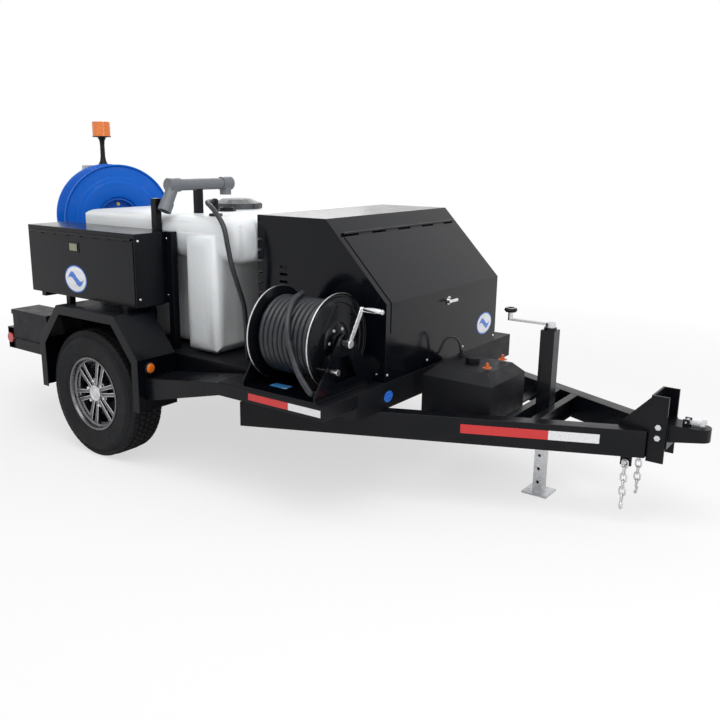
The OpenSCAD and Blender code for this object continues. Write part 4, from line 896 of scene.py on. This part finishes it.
class WASHER_OT_chassis(bpy.types.Operator):
    """Paints the trailer chassis and adds its bolts and reflective tape"""
    bl_idname = "washer.chassis"
    bl_label = "Chassis"

    def execute(self, context):
        trim = context.scene.washer_trim
        for node, paint, edge in CHASSIS:
            dress(node, PAINTS[paint], edge)
        self.tape(trim)
        return {"FINISHED"}

    def tape(self, trim):
        half = trim.tape_height / 2
        for side, name in ((-1, "right"), (1, "left")):
            lean = Vector((math.cos(math.radians(25)), -side * math.sin(math.radians(25)), 0))
            out = Vector((math.sin(math.radians(25)), side * math.cos(math.radians(25)), 0))
            start = at(1.95, side * (2.93 - 1.95) * math.tan(math.radians(25)), 0.415)
            bm = bmesh.new()
            turn = Matrix((lean, Vector((0, 0, 1)), out)).transposed().to_4x4()
            turn.translation = start + out * 0.0004
            prism(bm, [(0, -half), (0.62, -half), (0.62, half), (0, half)], 0.0006, turn)
            mesh_piece("tongue_tape_" + name, bm, PAINTS["tongue_tape"], "trailer")
        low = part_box("deck_side_rails")[0]
        bm = bmesh.new()
        turn = facing((at(1.371, 0, 0).x, low.y - 0.0004, 0.5615), (0, -1, 0))
        prism(bm, [(-0.213, -0.0165), (0.213, -0.0165), (0.213, 0.0165), (-0.213, 0.0165)], 0.0006, turn)
        mesh_piece("deck_tape", bm, PAINTS["deck_tape"], "trailer")
        plate = [(-0.050, -0.026), (0.050, -0.026), (0.050, 0.026), (-0.050, 0.026)]
        decal("deck_label", at(1.263, -0.939, 0.606), (0, 0, 1), plate, "label_blue", "trailer")
        decal("apron_label", at(1.604, -0.545, 0.526), AHEAD, oval(0.075, 0.055), "decal_blue", "trailer")


# ---------------------------------------------------------------- fenders and lamps
class WASHER_OT_fenders(bpy.types.Operator):
    """Finishes the fenders with their bolts and all marker and tail lamps"""
    bl_idname = "washer.fenders"
    bl_label = "Fenders and lamps"

    def execute(self, context):
        dress("fenders", PAINTS["gloss"], 0.002)
        dress("tail_lamps", PAINTS["red"], 0.002)
        for side, name in ((-1, "right"), (1, "left")):
            place, out = at(0.430, side * 1.020, 0.570), (1, 0, 0)
            bezel = turned("marker_bezel_" + name, [(0, 0), (0.031, 0), (0.031, 0.005), (0.029, 0.009),
                           (0.0265, 0.010), (0.025, 0.007), (0.025, 0.004), (0, 0.004)], place, out, "seal",
                           "trailer")
            turned("marker_lens_" + name, [(0, 0.0045), (0.0248, 0.0045), (0.0248, 0.009), (0.022, 0.0125),
                   (0.016, 0.0145), (0.008, 0.0157), (0, 0.016)], place, out, "amber", "trailer", 48)
            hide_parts("marker_lamps")
        low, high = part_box("fenders")
        inset = 0.32
        spots = [(Vector((x, y, high.z)), UP) for x in (low.x + inset, centre("fenders").x, high.x - inset)
                 for y in (-0.872, 0.872)]
        screws("fender_bolts", spots, "trailer", "zinc", 0.009)
        return {"FINISHED"}


# ---------------------------------------------------------------- toolbox
class WASHER_OT_toolbox(bpy.types.Operator):
    """Builds the toolbox finish with its plates, screws and blank decals"""
    bl_idname = "washer.toolbox"
    bl_label = "Toolbox"

    def execute(self, context):
        dress("toolbox_body", PAINTS["gloss"], 0.002)
        dress("toolbox_brackets", PAINTS["frame"], 0.002)
        dress("toolbox_door", PAINTS["gloss"], 0.002)
        dress("toolbox_latch", PAINTS["shield"], 0.001)
        spot = at(-0.24, -0.9637, 0.965)
        badge("toolbox_decal", spot, (0, -1, 0), (0.200, 0.155), (0.150, 0.080), "toolbox_flap")
        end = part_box("toolbox_body")[1].x
        corners = [(Vector((end, y, z)), AHEAD) for y in (-0.935, -0.735) for z in (0.90, 1.21)]
        screws("toolbox_end_screws", corners, "trailer", "bright", 0.008)
        return {"FINISHED"}


# ---------------------------------------------------------------- tank
class WASHER_OT_tank(bpy.types.Operator):
    """Finishes the water tank with its lid, funnel, fill pipe and vent"""
    bl_idname = "washer.tank"
    bl_label = "Water tank"

    def execute(self, context):
        dress("water_tank", PAINTS["tank"], 0.0)
        dress("tank_neck", PAINTS["black_plastic"], 0.002)
        dress("tank_lid", PAINTS["lid"], 0.003)
        dress("fill_pipe", PAINTS["pvc"], 0.001)
        dress("fill_pipe_posts", PAINTS["frame"], 0.0015)
        dress("vent_fitting", PAINTS["black_plastic"], 0.001)
        return {"FINISHED"}


# ---------------------------------------------------------------- power unit
class WASHER_OT_power(bpy.types.Operator):
    """Finishes the hood, engine, pump, fuel tank and battery"""
    bl_idname = "washer.power"
    bl_label = "Hood and engine"

    def execute(self, context):
        for node, paint, edge in POWER:
            dress(node, PAINTS[paint], edge)
        low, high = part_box("hood_shell")
        front = at(1.604, 0, 0).x
        sill, belt, half = 0.635, 0.93, 0.580
        spots = [(Vector((front, y, sill)), AHEAD) for y in (-0.56, -0.19, 0.19, 0.56)]
        spots += [(Vector((x, side * half, z)), (0, side, 0)) for side in (-1, 1)
                  for x in (low.x + 0.04, low.x + 0.22, low.x + 0.40, low.x + 0.58, high.x - 0.05)
                  for z in (sill, belt)]
        screws("hood_screws", spots, "trailer")
        badge("hood_decal", Vector((front, 0.436, 0.727)), AHEAD, (0.180, 0.125), (0.130, 0.062), "trailer")
        self.fuel_fittings()
        return {"FINISHED"}

    def fuel_fittings(self):
        """The vent and pick-up fittings on the fuel tank, and its cap's collar and grip ribs."""
        low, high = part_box("fuel_tank")
        up, slot, top = UP, "poly_black", high.z
        boss = [(0, 0), (0.022, 0), (0.022, 0.003), (0.015, 0.005), (0.010, 0.006), (0.010, 0.014),
                (0.008, 0.016), (0.008, 0.024), (0.006, 0.026), (0, 0.026)]
        for k, (x, y) in enumerate(((0.075, 0.26), (0.285, 0.30), (0.30, 0.10))):
            turned("fuel_fitting_%d" % k, boss, Vector((low.x + x, low.y + y, top - 0.001)), up,
                   "orange" if k else "black_plastic", "trailer", 32)
        cap = centre("fuel_cap")
        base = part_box("fuel_cap")[0].z
        collar = [(0.030, -0.012), (0.046, -0.012), (0.047, -0.004), (0.045, -0.001), (0.030, -0.001),
                  (0.030, -0.012)]
        foot = Vector((cap.x, cap.y, base))
        turned("fuel_cap_collar", collar, foot, up, "black_plastic", "trailer", 48)
        ribs = []
        for k in range(24):
            out = Vector((math.cos(TAU * k / 24), math.sin(TAU * k / 24), 0))
            ribs.append((Vector((cap.x, cap.y, base + 0.012)) + out * 0.0335, out))
        bm = bmesh.new()
        prism(bm, RIB, 0.003)
        repeat("fuel_cap_ribs", ribs, hidden_shape("rib", bm), PAINTS["black_plastic"], "filler_cap")


# ---------------------------------------------------------------- supply reel
class WASHER_OT_supply_reel(bpy.types.Operator):
    """Builds the black supply reel on its stand"""
    bl_idname = "washer.supply_reel"
    bl_label = "Supply reel"

    def execute(self, context):
        dress("supply_reel_stand", PAINTS["gloss"], 0.0015)
        dress("reel_lock_pin", PAINTS["bright"], 0.0008)
        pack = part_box("supply_hose_pack")
        middle = (pack[0] + pack[1]) / 2
        half = (pack[1].x - pack[0].x) / 2
        flange = [(0, 0), (0.216, 0), (0.2205, 0.002), (0.222, 0.006), (0.222, 0.012), (0.2200, 0.0135),
                  (0.2175, 0.0125), (0.2165, 0.007), (0.213, 0.0035), (0.206, 0.0035), (0.202, 0.008),
                  (0.181, 0.008), (0.177, 0.0035), (0.092, 0.0035), (0.086, 0.008), (0.078, 0.0105),
                  (0.046, 0.0115), (0.044, 0.020), (0.041, 0.023), (0.024, 0.024), (0.022, 0.032), (0, 0.032)]
        # rim: a thin plated band over the flange's rolled edge, a painted highlight that stands in for the
        # light line along the black edge
        rim = [(0.2222, 0.0045), (0.2226, 0.006), (0.2226, 0.010), (0.2222, 0.0115), (0.2215, 0.0115),
               (0.2215, 0.0045), (0.2222, 0.0045)]
        body, bolt_ring, bolt_seat = "supply_drum", 0.062, 0.0105
        for side, name in ((-1, "rear"), (1, "front")):
            face, out = middle + Vector((side * half, 0, 0)), Vector((side, 0, 0))
            plate = turned("supply_flange_" + name, flange, face, out, "reel_black", body, 128)
            if side > 0:
                self.lock_holes(plate, face)
            # a thin bright band whose brightness is a painted highlight along the rolled edge
            turned("supply_rim_edge_" + name, rim, face, out, "zinc", body, 128)
            spots = []
            for k in range(6):
                ray = Vector((0, math.cos(TAU * k / 6), math.sin(TAU * k / 6)))
                spots.append((face + out * bolt_seat + ray * bolt_ring, out))
            repeat("supply_hub_bolts_" + name, spots, hex_bolt(0.007, 0.006), PAINTS["zinc"], body)
        drum = turned("supply_drum_tube", tube(SUPPLY_DRUM, half), middle, AHEAD, "reel_black", body)
        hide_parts("supply_reel")
        start, end = at(1.106, 0, 0).x - middle.x, at(1.584, 0, 0).x - middle.x
        shaft = [(0, start), (0.0135, start), (0.015, start + 0.002), (0.015, end - 0.002), (0.0135, end),
                 (0, end)]
        turned("supply_shaft", shaft, middle, AHEAD, "bright", body, 32)
        self.crank(at(1.568, middle.y, middle.z), body)
        return {"FINISHED"}

    def lock_holes(self, plate, face):
        """Eight holes through the front flange for the lock pin."""
        pin = centre("reel_lock_pin") - face
        first, radius = math.atan2(pin.z, pin.y), math.hypot(pin.y, pin.z)
        bm = bmesh.new()
        for k in range(8):
            turn = first + TAU * k / 8
            spot = face + radius * Vector((0, math.cos(turn), math.sin(turn)))
            lathe(bm, [(0, -0.01), (0.007, -0.01), (0.007, 0.02), (0, 0.02)], spot, AHEAD, 24)
        bmesh.ops.recalc_face_normals(bm, faces=bm.faces)
        cutter = hidden_shape("hole_pins", bm)
        bpy.context.scene.collection.objects.link(cutter)
        cut = plate.modifiers.new("holes", "BOOLEAN")
        cut.operation, cut.object, cut.solver = "DIFFERENCE", cutter, "EXACT"
        bake_modifiers(plate)
        bpy.data.objects.remove(cutter)

    def crank(self, hub, body):
        """A flat arm with a turned grip at its end."""
        reach = Vector((0, 0.090, 0.143))
        turn = facing(hub, AHEAD) @ Matrix.Rotation(math.atan2(reach.z, reach.y), 4, "Z")
        bm = bmesh.new()
        prism(bm, bar(reach.length, 0.026), 0.008, turn)
        mesh_piece("supply_crank_arm", bm, PAINTS["bright"], body, 30, 0.0015)
        boss = [(0, -0.003), (0.021, -0.003), (0.021, 0.013), (0.018, 0.0155), (0, 0.0155)]
        grip = [(0, 0.008), (0.012, 0.008), (0.012, 0.013), (0.0095, 0.016), (0.0115, 0.024), (0.0135, 0.045),
                (0.014, 0.075), (0.0125, 0.104), (0.010, 0.113), (0.012, 0.118), (0.009, 0.1215), (0, 0.122)]
        for name, profile, spot in (("boss", boss, hub), ("grip", grip, hub + reach)):
            turned("supply_crank_" + name, profile, spot, AHEAD, "bright", body, 32)


# ---------------------------------------------------------------- jetting reel
class WASHER_OT_jet_reel(bpy.types.Operator):
    """Builds the blue jetting reel, its swivel and the control box with its beacon"""
    bl_idname = "washer.jet_reel"
    bl_label = "Jetting reel"

    def execute(self, context):
        dress("turntable_base", PAINTS["frame"], 0.002)
        dress("reel_swivel_frame", PAINTS["frame"], 0.002)
        dress("control_box", PAINTS["box"], 0.003)
        self.reel()
        self.beacon()
        return {"FINISHED"}

    def reel(self):
        """Two dished flanges with bolted hubs, the drum between them and the shaft."""
        middle, axis, body = centre("jet_hose_pack"), reel_axis(), "jet_drum"
        half, bolt_ring, bolt_seat = JET_WIDTH / 2, 0.094, 0.0445
        disc = [(0, -0.055), (0.124, -0.055), (0.130, -0.050), (0.130, 0), (0.345, 0), (0.351, 0.003),
                (0.355, 0.009), (0.355, 0.015), (0.352, 0.018), (0.347, 0.0175), (0.344, 0.010),
                (0.338, 0.0055), (0.276, 0.005), (0.271, 0.009), (0.247, 0.0095), (0.241, 0.0145),
                (0.152, 0.015), (0.143, 0.012), (0.137, 0.003), (0.127, -0.034), (0.119, -0.043),
                (0.064, -0.046), (0.058, -0.040), (0.054, -0.022), (0.046, -0.017), (0.032, -0.017),
                (0.029, 0.012), (0, 0.012)]
        for side, name in ((-1, "rear"), (1, "front")):
            out = axis * side
            start = middle + out * half
            flange = turned("jet_flange_" + name, disc, start, out, "reel_blue", body, 144)
            spots = []
            for k in range(6):
                turn = TAU * (k + 0.4) / 6
                ray = facing(Vector(), axis) @ Vector((math.cos(turn), math.sin(turn), 0))
                spots.append((start - out * bolt_seat + ray * bolt_ring, out))
            repeat("jet_hub_bolts_" + name, spots, hex_bolt(0.009, 0.010), PAINTS["brass"], body)
        turned("jet_drum_tube", tube(JET_DRUM, half), middle, axis, "reel_blue", body)
        shaft = [(0, -0.200), (0.018, -0.200), (0.020, -0.198), (0.020, 0.210), (0.018, 0.212), (0, 0.212)]
        turned("jet_shaft", shaft, middle, axis, "zinc", body, 40)
        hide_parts("jet_reel")

    def beacon(self):
        low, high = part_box("beacon")
        foot = Vector(((low.x + high.x) / 2, (low.y + high.y) / 2, low.z))
        top = high.z - low.z
        shelf, seat = top - 0.104, top - 0.098
        mast = [(0, 0), (0.034, 0), (0.034, 0.006), (0.030, 0.012), (0.021, 0.030), (0.0165, 0.060),
                (0.0155, top - 0.160), (0.018, top - 0.130), (0.028, top - 0.108), (0.040, shelf), (0, shelf)]
        base = [(0, shelf), (0.0625, shelf), (0.0635, top - 0.102), (0.0635, seat), (0, seat)]
        cover = [(0, seat), (0.0622, seat), (0.0622, top - 0.003), (0.0605, top - 0.0008), (0.057, top),
                 (0, top)]
        mast = turned("beacon_mast", mast, foot, UP, "black_plastic", "swivel", 40)
        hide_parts("beacon")
        turned("beacon_base", base, foot, UP, "black_plastic", "swivel")
        turned("beacon_lens", cover, foot, UP, "amber", "swivel", 96)


# ---------------------------------------------------------------- jack
class WASHER_OT_jack(bpy.types.Operator):
    """Finishes the drop-leg jack with its crank and gear head"""
    bl_idname = "washer.jack"
    bl_label = "Jack"

    def execute(self, context):
        dress("jack_tube", PAINTS["jack"], 0.002)
        dress("jack_leg", PAINTS["zinc"], 0.002)
        dress("jack_crank", PAINTS["zinc"], 0.001)
        low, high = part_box("jack_crank")
        knob = Vector((low.x + 0.024, 0, high.z))
        profile = [(0, -0.022), (0.025, -0.022), (0.031, -0.015), (0.032, -0.010), (0.028, -0.003),
                   (0.018, 0.0), (0, 0.0)]
        turned("jack_knob", profile, knob, UP, "black_plastic", "crank", 40)
        return {"FINISHED"}


# ---------------------------------------------------------------- stage
class WASHER_OT_stage(bpy.types.Operator):
    """Sets the camera, soft lamps, pale floor and plain surroundings"""
    bl_idname = "washer.stage"
    bl_label = "Stage"

    def execute(self, context):
        sizes = context.scene.washer_stage
        self.camera()
        self.lamps(sizes)
        self.surroundings(sizes.sky)
        self.floor()
        context.scene.view_settings.view_transform = "Standard"
        return {"FINISHED"}

    def camera(self):
        yaw, pitch, roll = (math.radians(a) for a in (127.488, -13.596, 0.323))
        ahead = Vector((math.cos(pitch) * math.cos(yaw), math.cos(pitch) * math.sin(yaw), math.sin(pitch)))
        right = ahead.cross(Vector((0, 0, 1))).normalized()
        up = right.cross(ahead)
        right, up = math.cos(roll) * right + math.sin(roll) * up, math.cos(roll) * up - math.sin(roll) * right
        data = bpy.data.cameras.new("view")
        data.lens, data.sensor_width = 39.75, 36
        data.shift_x, data.shift_y = 0.0447, -0.0174
        cam = bpy.data.objects.new("view", data)
        cam.matrix_world = Matrix((right, up, -ahead)).transposed().to_4x4()
        cam.matrix_world.translation = Vector((2.7755, -3.6294, 1.6524))
        bpy.context.scene.collection.objects.link(cam)
        bpy.context.scene.camera = cam

    def lamps(self, sizes):
        for name, power, place, target, width, height in (
                ("key_softbox", sizes.key, (1.2, -2.2, 4.6), (0, 0, 0.8), 4.2, 2.6),
                ("side_softbox", sizes.fill, (5.2, -1.0, 2.4), (0.5, 0, 0.8), 2.6, 2.2),
                ("rear_softbox", sizes.fill, (-3.8, 3.4, 3.2), (0, 0, 0.8), 3.0, 2.4)):
            data = bpy.data.lights.new(name, "AREA")
            data.shape, data.size, data.size_y, data.energy = "RECTANGLE", width, height, power
            lamp = bpy.data.objects.new(name, data)
            lamp.location = place
            lamp.rotation_euler = (Vector(target) - Vector(place)).to_track_quat("-Z", "Y").to_euler()
            bpy.context.scene.collection.objects.link(lamp)

    def surroundings(self, strength):
        world = bpy.data.worlds.new("surroundings")
        world.use_nodes = True
        tree = world.node_tree
        shown = tree.nodes["Background"]
        shown.inputs[0].default_value = (1, 1, 1, 1)
        light = tree.nodes.new("ShaderNodeBackground")
        light.inputs[0].default_value = (1, 1, 1, 1)
        light.inputs[1].default_value = strength
        rays = tree.nodes.new("ShaderNodeLightPath")
        mix = tree.nodes.new("ShaderNodeMixShader")
        seen = sum((Sock(tree, rays.outputs[kind]) for kind in ("Is Glossy Ray", "Is Transmission Ray")),
                   Sock(tree, rays.outputs["Is Camera Ray"]))
        tree.links.new(seen.socket, mix.inputs[0])
        tree.links.new(light.outputs[0], mix.inputs[1])
        tree.links.new(shown.outputs[0], mix.inputs[2])
        tree.links.new(mix.outputs[0], tree.nodes["World Output"].inputs[0])
        bpy.context.scene.world = world

    def floor(self):
        f = Finish("pale_floor", (0.90, 0.90, 0.90), 0.7)
        away = f.node("VectorMath", {"operation": "LENGTH"}, 1, i0=f.node("TexCoord", output=3))
        f.set("Alpha", f.range(away, 2.6, 5.2, 1.0, 0.0))
        f.lift(0.62)
        bm = bmesh.new()
        lathe(bm, [(0, 0), (8, 0)], (0, 0, 0), (0, 0, 1), 96)
        mesh = bpy.data.meshes.new("floor")
        bm.to_mesh(mesh)
        bm.free()
        mesh.materials.append(f.material)
        floor = bpy.data.objects.new("floor", mesh)
        bpy.context.scene.collection.objects.link(floor)


class WASHER_PT_panel(bpy.types.Panel):
    """Lists the pieces of the washer and their sizes"""
    bl_idname = "WASHER_PT_panel"
    bl_label = "Trailer pressure washer"
    bl_space_type = "VIEW_3D"
    bl_region_type = "UI"
    bl_category = "Washer"

    def draw(self, context):
        for group in SETTINGS:
            box = self.layout.box()
            sizes = getattr(context.scene, group)
            for key in sizes.__annotations__:
                box.prop(sizes, key)
        for step in OPERATORS:
            self.layout.operator(step.bl_idname)


SETTINGS = {"washer_paint": WasherPaint, "washer_wheels": WasherWheels, "washer_hoses": WasherHoses,
            "washer_trim": WasherTrim, "washer_stage": WasherStage}
OPERATORS = (WASHER_OT_stage, WASHER_OT_hoses, WASHER_OT_chassis, WASHER_OT_wheels, WASHER_OT_fenders,
             WASHER_OT_toolbox, WASHER_OT_tank, WASHER_OT_power, WASHER_OT_supply_reel, WASHER_OT_jet_reel,
             WASHER_OT_jack)


def register():
    for name, group in SETTINGS.items():
        bpy.utils.register_class(group)
        setattr(bpy.types.Scene, name, PointerProperty(type=group))
    for kind in OPERATORS + (WASHER_PT_panel,):
        bpy.utils.register_class(kind)


def unregister():
    for kind in (WASHER_PT_panel,) + OPERATORS[::-1]:
        bpy.utils.unregister_class(kind)
    for name, group in SETTINGS.items():
        delattr(bpy.types.Scene, name)
        bpy.utils.unregister_class(group)


def main():
    register()
    make_finishes(bpy.context.scene.washer_paint)
    for step in OPERATORS:
        module, name = step.bl_idname.split(".")
        getattr(getattr(bpy.ops, module), name)()


if __name__ == "__main__":
    main()
